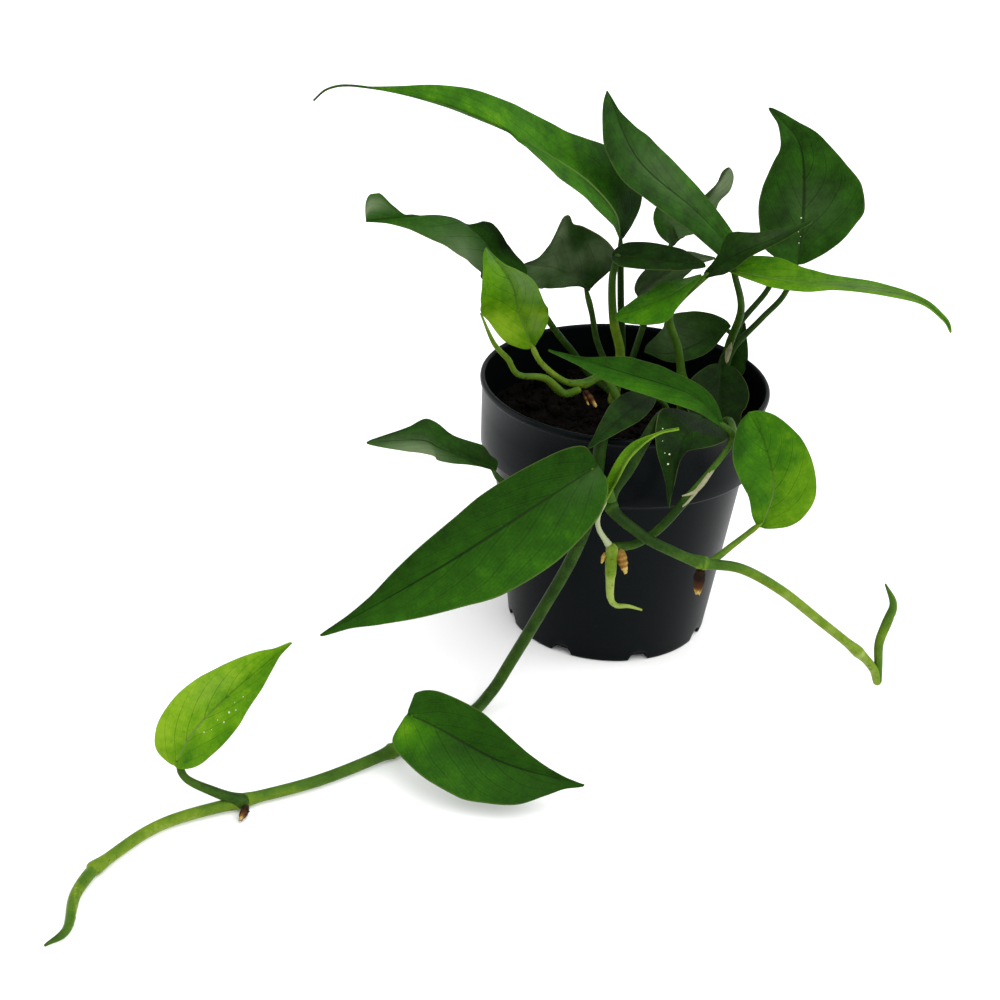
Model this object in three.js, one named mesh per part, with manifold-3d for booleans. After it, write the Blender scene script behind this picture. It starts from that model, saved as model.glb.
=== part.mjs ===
import * as THREE from 'three';
import { mergeVertices } from 'three/addons/utils/BufferGeometryUtils.js';
import Module from 'manifold-3d';

// A potted trailing pothos, in millimetres.
// The origin is the middle of the pot's foot on the floor, +Z is up and -Y faces the viewer.

const wasm = await Module();
wasm.setup();

// Sizes of the pot, a 12 cm grower's pot
const POT_HEIGHT = 112;
const RIM_RADIUS = 60;
const COLLAR_RADIUS = 58.6;
const COLLAR_BOTTOM = 82;
const BODY_TOP_RADIUS = 53.4;
const STEP_HEIGHT = 3;
const COLLAR_INNER_BOTTOM = COLLAR_BOTTOM + STEP_HEIGHT + 0.1;
const FOOT_RADIUS = 43.2;
const WALL = 1.2;
const FLOOR_THICKNESS = 1.6;
const RIM_ROLL = 1.0;
const RIM_ROLL_HEIGHT = 3;
const RIM_CHAMFER = 0.6;
const FOOT_CHAMFER = 1;
const POT_SIDES = 48;
const DRAIN_SLOTS = 8;
const DRAIN_SLOT_WIDTH = 9;
const DRAIN_SLOT_HEIGHT = 4.5;
const DRAIN_SLOT_INNER_RADIUS = 37;
const DRAIN_SLOT_TURN = 0.3;

// Sizes of the soil
const SOIL_TOP = 92;
const SOIL_BUMP = 1.2;
const SOIL_STEP_RISE = 0.6;
const SOIL_RINGS = 6;
const SOIL_SIDES = 32;
const HOLE_DEPTH = 12;
const HOLE_CLEARANCE = 0.8;
const HOLE_SIDES = 12;
const HOLE_OVERSHOOT = 10;

// Gaps between pieces that rest on each other
const GAP = 0.35;
const PETIOLE_GAP = 0.25;

// Sizes shared by all leaf blades
const BLADE_THICKNESS = 0.8;
const BLADE_STEPS_ALONG = 12;
const BLADE_STEPS_PER_HALF = 2;
const BLADE_LEAST_HALF_WIDTH = 0.8;
const LOBE_LENGTH = 0.36;
const FOLD_DEGREES = 14;

// Sizes shared by all stems
const STEM_STEP = 8;
const STEM_SIDES = 8;
const PETIOLE_SIDES = 6;
const NODE_SWELL = 0.3;
const NODE_SPREAD = 4;
const SPLINE_TENSION = 0.5;

// Colours read off the photograph
const COLOUR_POT = 0x17181c;
const COLOUR_SOIL = 0x2b1e18;
const COLOUR_YOUNG = 0x6fa61f;
const COLOUR_LEAF = 0x35701f;
const COLOUR_OLD = 0x1f4a24;
const COLOUR_BACK = 0x5f7d66;
const COLOUR_STEM = 0x5c8038;
const COLOUR_SHOOT = 0x8db53a;
const COLOUR_ROOT = 0x7a4a20;
const COLOUR_SHEATH = 0xcdbf95;

// Every leaf blade, seen from above with its base nearest:
// rib is the middle vein from base to tip, up is the way the upper face looks,
// and each pair is for the left half, then the right half.
// half: greatest width of the half in mm. full: small for a broad base.
// taper: large for a long thin tip. lobe: how far the base lobe reaches back, as a share of the length.
const BLADES = {
  blade_01_tall_left: {
    rib: [[-5, 16, 166], [-11, 8, 181], [-42, -10, 212], [-81, -28, 235], [-123, -44, 234]],
    up: [0, -0.55, 0.83],
    half: [11, 20], full: [0.6, 0.55], taper: [1.4, 2.4], lobe: [0.02, 0.05],
    colour: COLOUR_YOUNG,
  },
  blade_02_upper_middle: {
    rib: [[51, 24, 152], [26, 18, 179], [2, 10, 203], [-15, 0, 231]],
    up: [0.35, -0.8, 0.5],
    half: [10, 8], full: [0.9, 0.9], taper: [0.9, 0.9], lobe: [0.04, 0.02], fold: [6, 8],
    colour: COLOUR_OLD,
  },
  blade_03_upper_right: {
    rib: [[70, 28, 155], [70, 36, 172], [64, 44, 200], [54, 46, 215]],
    up: [0, -0.85, 0.5],
    half: [18, 25], full: [0.8, 1.1], taper: [1.6, 1.8], lobe: [0.05, 0.02],
    colour: COLOUR_OLD,
  },
  blade_04_small_back: {
    rib: [[19, 46, 154], [17, 50, 163], [29, 54, 168], [41, 58, 186]],
    up: [0, -0.8, 0.5],
    half: [8, 14], full: [0.52, 0.4], taper: [0.6, 0.8], lobe: [0.08, 0.07],
    colour: COLOUR_BACK,
  },
  blade_05_left: {
    rib: [[-43, 20, 147], [-56, 10, 168], [-74, 0, 175], [-107, -12, 188]],
    up: [0, -0.6, 0.8],
    half: [22, 5], full: [0.45, 0.6], taper: [0.9, 1.25], lobe: [0.04, 0.03],
    colour: COLOUR_LEAF,
  },
  blade_06_left_middle: {
    rib: [[-15, 36, 136], [-18, 40, 146], [-25, 44, 151], [-44, 46, 142]],
    up: [0, -0.85, 0.5],
    half: [21, 13], full: [1.1, 0.73], taper: [0.55, 1.5], lobe: [0.05, 0.12],
    colour: COLOUR_BACK,
  },
  blade_07_young_left: {
    rib: [[-39, -6, 126], [-45, -9, 141], [-49, -15, 157], [-59, -20, 173]],
    up: [0, -0.9, 0.45],
    half: [15, 12], full: [0.9, 0.9], taper: [0.9, 1.5], lobe: [0.04, 0.02],
    colour: COLOUR_YOUNG,
  },
  blade_08_right_middle: {
    rib: [[29, 8, 155], [40, 2, 167], [54, -4, 177], [67, -8, 186]],
    up: [0, -0.6, 0.8],
    half: [10, 6], full: [1.16, 0.4], taper: [2.4, 2.0], lobe: [0, 0.04],
    colour: COLOUR_OLD,
  },
  blade_09_centre: {
    rib: [[26, 7, 154], [15, 0, 149], [5, -3, 145], [-6, -5, 140]],
    up: [0, -0.6, 0.8],
    half: [11, 4], full: [1.4, 0.6], taper: [1.0, 1.05], lobe: [0, 0],
    colour: COLOUR_YOUNG,
  },
  blade_10_over_front: {
    rib: [[35, -60, 120], [23, -50, 128], [-3, -36, 130], [-33, -24, 133]],
    up: [0, -0.6, 0.8],
    half: [9, 8], full: [1.15, 1.1], taper: [1.4, 1.75], lobe: [0.01, 0.05],
    colour: COLOUR_LEAF,
  },
  blade_11_long_right: {
    rib: [[41, 2, 160], [62, -4, 162], [84, -12, 164], [109, -20, 162], [123, -28, 152]],
    up: [0, -0.6, 0.8],
    half: [7, 9], full: [0.4, 0.5], taper: [2.0, 2.0], lobe: [0.05, 0.01],
    colour: COLOUR_YOUNG,
  },
  blade_12_right_inside: {
    rib: [[41, 15, 114], [40, 4, 103], [42, -8, 98], [47, -20, 97]],
    up: [0, -0.9, 0.45],
    half: [13, 15], full: [0.46, 0.66], taper: [0.8, 1.0], lobe: [0.04, 0.03],
    colour: COLOUR_OLD,
  },
  blade_13_right_back: {
    rib: [[46, 37, 123], [33, 32, 116], [21, 26, 113], [9, 22, 115]],
    up: [0, -0.6, 0.8],
    half: [7, 15], full: [0.9, 0.8], taper: [1.0, 0.76], lobe: [0, 0.03],
    colour: COLOUR_OLD,
  },
  blade_14_front_inside: {
    rib: [[11, -24, 117], [0, -46, 119], [-9, -64, 119], [-17, -74, 115]],
    up: [0, -0.6, 0.8],
    half: [7, 7], full: [0.9, 0.8], taper: [0.95, 1.0], lobe: [0.03, 0.04],
    colour: COLOUR_OLD,
  },
  blade_15_hanging_front: {
    rib: [[29, -42, 115], [21, -61, 117], [17, -71, 110], [16, -72, 90]],
    up: [0, -0.5, 0.85],
    half: [9, 14], full: [0.7, 0.9], taper: [2.0, 1.6], lobe: [0.01, 0.01], fold: [8, 24],
    colour: COLOUR_OLD,
  },
  blade_16_rolled_front: {
    rib: [[-10, -80, 88], [-6, -80, 107], [-1, -80, 118], [16, -78, 127]],
    up: [-0.5, -0.7, 0.5],
    half: [3.5, 3.5], full: [0.6, 0.6], taper: [1.3, 1.3], lobe: [0, 0], fold: [40, 40],
    colour: COLOUR_SHOOT,
  },
  blade_17_large_front: {
    rib: [[-13, -80, 111], [-35, -88, 90], [-63, -98, 73], [-92, -106, 57], [-115, -112, 49]],
    up: [0, -0.8, 0.6],
    half: [19, 21], full: [0.9, 0.87], taper: [1.64, 1.44], lobe: [0.11, 0.12],
    colour: COLOUR_LEAF,
  },
  blade_18_left_rim: {
    rib: [[-51, -52, 93], [-72, -56, 103], [-81, -62, 111], [-101, -68, 110]],
    up: [0, -0.6, 0.8],
    half: [9, 7], full: [1.4, 0.8], taper: [0.83, 1.28], lobe: [0.01, 0.06],
    colour: COLOUR_OLD,
  },
  blade_19_round_right: {
    rib: [[54, -60, 77], [58, -62, 96], [52, -63, 116], [44, -62, 127]],
    up: [0.1, -0.95, 0.3],
    half: [17, 15], full: [0.75, 0.5], taper: [0.57, 0.6], lobe: [0.01, 0.02],
    colour: COLOUR_YOUNG,
  },
  blade_20_on_floor: {
    rib: [[-81, -124, 26], [-68, -131, 24], [-43, -141, 17], [-13, -147, 13]],
    up: [0, -0.75, 0.65],
    half: [13, 19], full: [0.9, 0.65], taper: [1.8, 1.15], lobe: [0.1, 0.11],
    colour: COLOUR_LEAF,
  },
  blade_21_young_front: {
    rib: [[-161, -160, 22], [-152, -158, 36], [-138, -152, 49], [-121, -144, 67]],
    up: [-0.1, -0.8, 0.6],
    half: [17, 10], full: [0.56, 0.8], taper: [0.9, 1.6], lobe: [0.01, 0.03],
    colour: COLOUR_YOUNG,
  },
  blade_22_centre_flat: {
    rib: [[-9, 6, 163], [6, 2, 164], [28, -4, 164]],
    up: [0, -0.5, 0.85],
    half: [7, 8], full: [0.54, 0.5], taper: [0.65, 0.63], lobe: [0.05, 0.04],
    colour: COLOUR_OLD,
  },
  blade_23_back_grey: {
    rib: [[5, 40, 133], [14, 38, 142], [25, 36, 151], [36, 34, 154]],
    up: [0, -0.8, 0.6],
    half: [7, 7], full: [0.63, 0.7], taper: [1.17, 1.2], lobe: [0.04, 0.03],
    colour: COLOUR_BACK,
  },
  blade_24_right_edge: {
    rib: [[44, 24, 104], [48, 27, 114], [51, 31, 127]],
    up: [0.1, -0.9, 0.45],
    half: [3, 3], full: [0.9, 0.7], taper: [0.6, 0.9], lobe: [0, 0],
    colour: COLOUR_OLD,
  },
};

// Every leafy stem: path is its middle line and starts with a straight foot in the soil,
// radius runs from foot to end, joints are the numbers of the points where a leaf joint swells.
// A petiole leaves the stem at its first point and ends just short of the blade it carries.
const STEMS = {
  stem_a_trailing: {
    path: [
      [-8, -36, 80], [-8, -36, 86], [-8, -36, 93], [-9, -46, 106], [-10, -57, 116], [-12, -66, 113],
      [-14, -74, 90], [-20, -75, 68], [-31, -75, 42], [-41, -74, 19], [-49, -78, 5],
      [-59, -94, 3.4], [-85, -118, 3.4], [-111, -139, 3.4], [-138, -154, 3.4], [-165, -170, 3.2],
      [-183, -195, 3],
    ],
    radius: [2.7, 2.2],
    joints: [6, 12, 14, 16],
    petioles: [
      {
        path: [[-14, -74, 89], [-34, -68, 88], [-48, -56, 89]],
        blade: 'blade_18_left_rim', radius: [1.6, 1.1],
      },
      { path: [[-72, -108, 4], [-80, -117, 14]], blade: 'blade_20_on_floor', radius: [1.8, 1.2] },
      {
        path: [[-138, -155, 4], [-147, -157, 9], [-157, -159, 16]],
        blade: 'blade_21_young_front', radius: [2.2, 1.2],
      },
    ],
  },
  stem_b_front: {
    path: [
      [18, -22, 80], [18, -22, 86], [18, -22, 93], [16, -35, 108], [12, -47, 117], [7, -59, 115.5],
      [0, -68, 105], [-7, -74, 92], [5, -79, 82], [18, -79, 75], [30, -76, 69], [46, -74, 66],
      [63, -72, 56], [80, -70, 42], [98, -66, 26], [106, -64, 17], [109, -63, 10],
    ],
    radius: [2.5, 1.9],
    joints: [7, 10, 14],
    petioles: [
      { path: [[18, -24, 97], [16, -24, 110]], blade: 'blade_14_front_inside', radius: [1.4, 1.1] },
      { path: [[-7, -74, 93], [-9, -76, 101]], blade: 'blade_17_large_front', radius: [1.8, 1.4] },
      {
        path: [[29, -77, 69], [42, -70, 70], [51, -62, 73.5]],
        blade: 'blade_19_round_right', radius: [1.7, 1.1],
      },
    ],
  },
  stem_c_right: {
    path: [
      [34, -20, 80], [34, -20, 86], [34, -20, 93], [37, -31, 107], [39, -45, 115.5], [39, -58, 115],
      [35, -66, 111], [26, -71, 100], [14, -73, 83], [5, -72, 74], [-5, -75, 73],
    ],
    radius: [2.1, 1.7],
    joints: [5, 10],
    petioles: [
      { path: [[39, -58, 115], [38, -60, 118]], blade: 'blade_10_over_front', radius: [1.3, 1.1] },
      { path: [[36, -28, 104], [30, -36, 110]], blade: 'blade_15_hanging_front', radius: [1.3, 1.1] },
      { path: [[-5, -75, 73], [-8, -78, 80]], blade: 'blade_16_rolled_front', radius: [1.4, 1.1] },
    ],
  },
  stem_d_left: {
    path: [[0, -4, 80], [0, -4, 86], [0, -4, 93], [-3, -2, 104], [-9, 1, 111], [-17, -4, 110]],
    radius: [2.2, 2.0],
    joints: [5],
    petioles: [
      {
        path: [[-17, -4, 110], [-24, -5, 112], [-34, -6, 119]],
        blade: 'blade_07_young_left', radius: [1.5, 1.1],
      },
    ],
  },
  stem_e_crown: {
    path: [
      [-3, 18, 80], [-3, 18, 86], [-3, 18, 93], [-2, 15, 106], [-2, 14, 118], [-6, 12, 133], [-8, 8, 152],
    ],
    radius: [2.5, 1.4],
    joints: [3],
    blade: 'blade_22_centre_flat',
    petioles: [
      {
        path: [[-2, 15, 106], [-1, 20, 118], [-3, 20, 138]],
        blade: 'blade_01_tall_left', radius: [1.6, 1.3],
      },
      {
        path: [[-3, 18, 97], [3, 29, 103], [9, 39, 120], [15, 44, 137]],
        blade: 'blade_04_small_back', radius: [1.5, 1.2],
      },
      {
        path: [[-3, 18, 97], [-13, 26, 101], [-21, 26, 111], [-32, 22, 126]],
        blade: 'blade_05_left', radius: [1.6, 1.2],
      },
      {
        path: [[-3, 18, 99], [-6, 29, 104], [-11, 34, 114], [-14, 36, 126]],
        blade: 'blade_06_left_middle', radius: [1.5, 1.2],
      },
      { path: [[9, 39, 120], [5, 40, 126]], blade: 'blade_23_back_grey', radius: [1.1, 0.9] },
    ],
  },
  stem_f_crown: {
    path: [
      [26, 12, 80], [26, 12, 86], [26, 12, 93], [25, 13, 106], [22, 13, 121], [17, 10, 135], [20, 8, 144],
    ],
    radius: [2.2, 1.2],
    joints: [3],
    blade: 'blade_08_right_middle',
    petioles: [],
  },
  stem_g_crown: {
    path: [[44, 12, 80], [44, 12, 86], [44, 12, 93], [43, 19, 108], [44, 19, 121], [46, 10, 141]],
    radius: [2.3, 1.3],
    joints: [3],
    blade: 'blade_11_long_right',
    petioles: [
      {
        path: [[43, 18, 108], [48, 20, 118], [55, 24, 132], [60, 26, 144], [58, 24, 150]],
        blade: 'blade_02_upper_middle', radius: [1.6, 1.3],
      },
      {
        path: [[43, 18, 110], [52, 22, 121], [60, 26, 132], [67, 28, 144]],
        blade: 'blade_03_upper_right', radius: [1.6, 1.3],
      },
      { path: [[43, 18, 106], [42, 17, 110]], blade: 'blade_12_right_inside', radius: [1.3, 1.1] },
      {
        path: [[43, 19, 106], [43, 30, 109], [48, 37, 117]],
        blade: 'blade_13_right_back', radius: [1.3, 1.1],
      },
      { path: [[44, 15, 99], [44, 20, 101]], blade: 'blade_24_right_edge', radius: [1.2, 1.0] },
    ],
  },
};

// New leaves that are still rolled, one at the end of each long stem
const SHOOTS = {
  shoot_a: {
    path: [[-184.2, -197, 3], [-186, -209, 3], [-185, -226, 3], [-190, -234, 3]],
    radius: [1.8, 0.7],
  },
  shoot_b: {
    path: [[109.7, -63, 17.2], [107, -62, 28], [110, -60, 38], [111, -59, 45], [107, -58, 53]],
    radius: [1.6, 0.7],
  },
  shoot_c: {
    path: [[-5, -76.6, 69.6], [-5, -79, 61], [-4, -80, 53], [1, -81, 51], [8, -82, 50]],
    radius: [2.1, 0.7],
  },
  shoot_d: {
    path: [
      [-21, -6, 107], [-33, -9, 114], [-43, -12, 116], [-48, -14, 123], [-57, -18, 136], [-61, -20, 148],
    ],
    radius: [1.7, 0.7],
  },
};

// Brown tips of aerial roots at the leaf joints
const ROOT_NUBS = {
  root_nub_a: { path: [[-136, -157.8, 3], [-135, -163, 2.2]], radius: [1.8, 1.2] },
  root_nub_b: { path: [[30, -76.5, 65.2], [30, -77, 58]], radius: [2.0, 1.3] },
  root_nub_c: { path: [[-1, -76.2, 70.4], [0, -78, 65]], radius: [1.8, 1.2] },
  root_nub_d: { path: [[-16.2, -6.1, 107], [-14, -9, 102]], radius: [1.4, 1.0] },
};

// Dry sheaths that cling to two of the stems
const SHEATHS = {
  sheath_c: {
    rib: [[33, -70.6, 108.6], [27, -74.4, 101.4], [21, -75.6, 94.4]],
    up: [0, -0.9, 0.4],
    half: [1.6, 1.6], full: [0.5, 0.5], taper: [0.5, 0.5], lobe: [0, 0],
  },
  sheath_g: {
    rib: [[43.4, 15.8, 114], [43.8, 15.8, 121], [44.6, 12.4, 129]],
    up: [0, -0.9, 0.2],
    half: [1.4, 1.4], full: [0.5, 0.5], taper: [0.5, 0.5], lobe: [0, 0],
  },
};

function vector(point) {
  return new THREE.Vector3(point[0], point[1], point[2]);
}

function splineThrough(points) {
  return new THREE.CatmullRomCurve3(points.map(vector), false, 'catmullrom', SPLINE_TENSION);
}

function radians(degrees) {
  return degrees * Math.PI / 180;
}

// Solid from a manifold, joined or cut, back to plain geometry
function toManifold(geometry) {
  const bare = geometry.clone();
  bare.deleteAttribute('normal');
  bare.deleteAttribute('uv');
  const merged = mergeVertices(bare, 1e-4);
  return new wasm.Manifold(new wasm.Mesh({
    numProp: 3,
    vertProperties: new Float32Array(merged.attributes.position.array),
    triVerts: new Uint32Array(merged.index.array),
  }));
}

function fromManifold(solid) {
  const mesh = solid.getMesh();
  const geometry = new THREE.BufferGeometry();
  geometry.setAttribute('position', new THREE.BufferAttribute(new Float32Array(mesh.vertProperties), 3));
  geometry.setIndex(new THREE.BufferAttribute(new Uint32Array(mesh.triVerts), 1));
  geometry.computeVertexNormals();
  return geometry;
}

function joined(geometries) {
  let solid = toManifold(geometries[0]);
  for (const geometry of geometries.slice(1)) {
    solid = solid.add(toManifold(geometry));
  }
  return fromManifold(solid);
}

// Half width of a blade at share t of its length: a power curve that is 1 at its widest
function outlineShare(t, full, taper) {
  const peak = full / (full + taper);
  const greatest = peak ** full * (1 - peak) ** taper;
  return t ** full * (1 - t) ** taper / greatest;
}

// Middle surface of a blade: each half rises from the rib at the fold angle
function bladePoint(leaf, curve, length, t, across) {
  const side = across > 0 ? 1 : 0;
  const reach = Math.abs(across);
  const middle = curve.getPointAt(t);
  const along = curve.getTangentAt(t);
  const up = vector(leaf.up);
  up.addScaledVector(along, -up.dot(along)).normalize();
  const sideways = new THREE.Vector3().crossVectors(along, up);
  const fold = radians((leaf.fold ?? [FOLD_DEGREES, FOLD_DEGREES])[side]);
  const share = outlineShare(t, leaf.full[side], leaf.taper[side]);
  const width = Math.max(leaf.half[side] * share, BLADE_LEAST_HALF_WIDTH) * reach;
  const back = leaf.lobe[side] * Math.sin(Math.PI * Math.min(t / LOBE_LENGTH, 1));
  return middle
    .addScaledVector(along, -back * length * reach)
    .addScaledVector(sideways, Math.sign(across) * width * Math.cos(fold))
    .addScaledVector(up, width * Math.sin(fold));
}

// Closed blade: the middle surface moved half the thickness each way along its own normal
function bladeSolid(leaf) {
  const curve = splineThrough(leaf.rib);
  const length = curve.getLength();
  const columns = 2 * BLADE_STEPS_PER_HALF + 1;
  const rows = BLADE_STEPS_ALONG + 1;
  const middle = [];
  for (let i = 0; i < rows; i += 1) {
    const t = i / BLADE_STEPS_ALONG;
    for (let j = 0; j < columns; j += 1) {
      middle.push(bladePoint(leaf, curve, length, t, j / BLADE_STEPS_PER_HALF - 1));
    }
  }
  const at = (i, j) => middle[i * columns + j];
  const top = [];
  const bottom = [];
  for (let i = 0; i < rows; i += 1) {
    for (let j = 0; j < columns; j += 1) {
      const forward = at(Math.min(i + 1, rows - 1), j).clone().sub(at(Math.max(i - 1, 0), j));
      const right = at(i, Math.min(j + 1, columns - 1)).clone().sub(at(i, Math.max(j - 1, 0)));
      const normal = new THREE.Vector3().crossVectors(right, forward).normalize();
      top.push(at(i, j).clone().addScaledVector(normal, BLADE_THICKNESS / 2));
      bottom.push(at(i, j).clone().addScaledVector(normal, -BLADE_THICKNESS / 2));
    }
  }
  return closedSheet(top, bottom, rows, columns);
}

// Closed body between two like grids, both faces split along the same diagonals
function closedSheet(top, bottom, rows, columns) {
  const count = rows * columns;
  const faces = [];
  for (let i = 0; i < rows - 1; i += 1) {
    for (let j = 0; j < columns - 1; j += 1) {
      const a = i * columns + j;
      const b = a + 1;
      const c = a + columns + 1;
      const d = a + columns;
      faces.push(a, b, c, a, c, d);
      faces.push(count + a, count + c, count + b, count + a, count + d, count + c);
    }
  }
  const edge = [];
  for (let j = 0; j < columns - 1; j += 1) edge.push(j);
  for (let i = 0; i < rows - 1; i += 1) edge.push(i * columns + columns - 1);
  for (let j = columns - 1; j > 0; j -= 1) edge.push((rows - 1) * columns + j);
  for (let i = rows - 1; i > 0; i -= 1) edge.push(i * columns);
  for (let k = 0; k < edge.length; k += 1) {
    const a = edge[k];
    const b = edge[(k + 1) % edge.length];
    faces.push(a, count + a, b, b, count + a, count + b);
  }
  return closedGeometry([...top, ...bottom], faces);
}

function closedGeometry(points, faces) {
  const geometry = new THREE.BufferGeometry();
  const flat = new Float32Array(points.flatMap((point) => [point.x, point.y, point.z]));
  geometry.setAttribute('position', new THREE.BufferAttribute(flat, 3));
  geometry.setIndex(faces);
  geometry.computeVertexNormals();
  return geometry;
}

// Round stem of changing radius along a path, with a rounded point at each end
function stemSolid(path, radius, sides, joints = []) {
  const curve = splineThrough(path);
  const length = curve.getLength();
  const steps = Math.max(3, Math.round(length / STEM_STEP));
  const frames = curve.computeFrenetFrames(steps, false);
  const points = [];
  for (let i = 0; i <= steps; i += 1) {
    const t = i / steps;
    const middle = curve.getPointAt(t);
    let size = radius[0] + (radius[1] - radius[0]) * t;
    for (const joint of joints) {
      const away = middle.distanceTo(vector(path[joint])) / NODE_SPREAD;
      size *= 1 + NODE_SWELL * Math.exp(-(away ** 2));
    }
    for (let k = 0; k < sides; k += 1) {
      const angle = 2 * Math.PI * k / sides;
      points.push(middle.clone()
        .addScaledVector(frames.normals[i], size * Math.cos(angle))
        .addScaledVector(frames.binormals[i], size * Math.sin(angle)));
    }
  }
  const first = curve.getPointAt(0).addScaledVector(curve.getTangentAt(0), -radius[0] / 2);
  const last = curve.getPointAt(1).addScaledVector(curve.getTangentAt(1), radius[1] / 2);
  const firstIndex = points.push(first) - 1;
  const lastIndex = points.push(last) - 1;
  const faces = [];
  for (let k = 0; k < sides; k += 1) {
    const next = (k + 1) % sides;
    faces.push(firstIndex, next, k);
    faces.push(lastIndex, steps * sides + k, steps * sides + next);
    for (let i = 0; i < steps; i += 1) {
      const a = i * sides + k;
      const b = i * sides + next;
      faces.push(a, b, b + sides, a, b + sides, a + sides);
    }
  }
  return closedGeometry(points, faces);
}

// Path that stops a gap short of the base of the blade it carries
function pathToBlade(path, blade, endRadius) {
  const base = vector(BLADES[blade].rib[0]);
  const before = vector(path[path.length - 1]);
  const direction = base.clone().sub(before).normalize();
  const end = base.addScaledVector(direction, -(PETIOLE_GAP + endRadius / 2 + BLADE_THICKNESS / 2));
  return [...path, end.toArray()];
}

function leafyStem(stem) {
  const mainPath = stem.blade ? pathToBlade(stem.path, stem.blade, stem.radius[1]) : stem.path;
  const pieces = [stemSolid(mainPath, stem.radius, STEM_SIDES, stem.joints)];
  for (const petiole of stem.petioles) {
    const path = pathToBlade(petiole.path, petiole.blade, petiole.radius[1]);
    pieces.push(stemSolid(path, petiole.radius, PETIOLE_SIDES));
  }
  return joined(pieces);
}

// Radius of the inside of the pot's wall at a height
function innerRadius(height) {
  if (height > COLLAR_BOTTOM + STEP_HEIGHT) {
    const share = (height - COLLAR_BOTTOM) / (POT_HEIGHT - COLLAR_BOTTOM);
    return COLLAR_RADIUS + (RIM_RADIUS - RIM_ROLL - COLLAR_RADIUS) * share - WALL;
  }
  const share = Math.min(height / COLLAR_BOTTOM, 1);
  return FOOT_RADIUS + (BODY_TOP_RADIUS - FOOT_RADIUS) * share - WALL;
}

// Pot: a lathed wall with a collar and a rolled rim, with drain slots cut round the foot
function potSolid() {
  const profile = [
    [0, 0],
    [FOOT_RADIUS - FOOT_CHAMFER, 0],
    [FOOT_RADIUS, FOOT_CHAMFER],
    [BODY_TOP_RADIUS, COLLAR_BOTTOM - STEP_HEIGHT],
    [COLLAR_RADIUS, COLLAR_BOTTOM],
    [RIM_RADIUS - RIM_ROLL, POT_HEIGHT - RIM_ROLL_HEIGHT],
    [RIM_RADIUS, POT_HEIGHT - RIM_ROLL_HEIGHT + RIM_CHAMFER],
    [RIM_RADIUS, POT_HEIGHT - RIM_CHAMFER],
    [RIM_RADIUS - RIM_CHAMFER, POT_HEIGHT],
    [RIM_RADIUS - RIM_ROLL - WALL, POT_HEIGHT],
    [innerRadius(COLLAR_INNER_BOTTOM), COLLAR_INNER_BOTTOM],
    [innerRadius(COLLAR_BOTTOM), COLLAR_BOTTOM],
    [innerRadius(FLOOR_THICKNESS), FLOOR_THICKNESS],
    [0, FLOOR_THICKNESS],
  ];
  const lathe = new THREE.LatheGeometry(profile.map(([r, z]) => new THREE.Vector2(r, z)), POT_SIDES);
  lathe.rotateX(Math.PI / 2);
  let solid = toManifold(lathe);
  const depth = FOOT_RADIUS + 3 - DRAIN_SLOT_INNER_RADIUS;
  for (let i = 0; i < DRAIN_SLOTS; i += 1) {
    const half = DRAIN_SLOT_WIDTH / 2;
    const arch = new THREE.CylinderGeometry(half, half, depth, HOLE_SIDES);
    arch.scale(1, 1, 2 * DRAIN_SLOT_HEIGHT / DRAIN_SLOT_WIDTH);
    arch.translate(0, DRAIN_SLOT_INNER_RADIUS + depth / 2, 0);
    arch.rotateZ(2 * Math.PI * i / DRAIN_SLOTS + DRAIN_SLOT_TURN);
    solid = solid.subtract(toManifold(arch));
  }
  return fromManifold(solid);
}

// Height of the soil's uneven top: a few crossing sine waves
function soilHeight(x, y) {
  const coarse = Math.sin(x / 7 + 1.3) * Math.cos(y / 9 - 0.4);
  const fine = Math.sin(x / 3.1 - y / 4.3) * 0.5;
  return SOIL_TOP + SOIL_BUMP * (coarse + fine);
}

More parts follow.
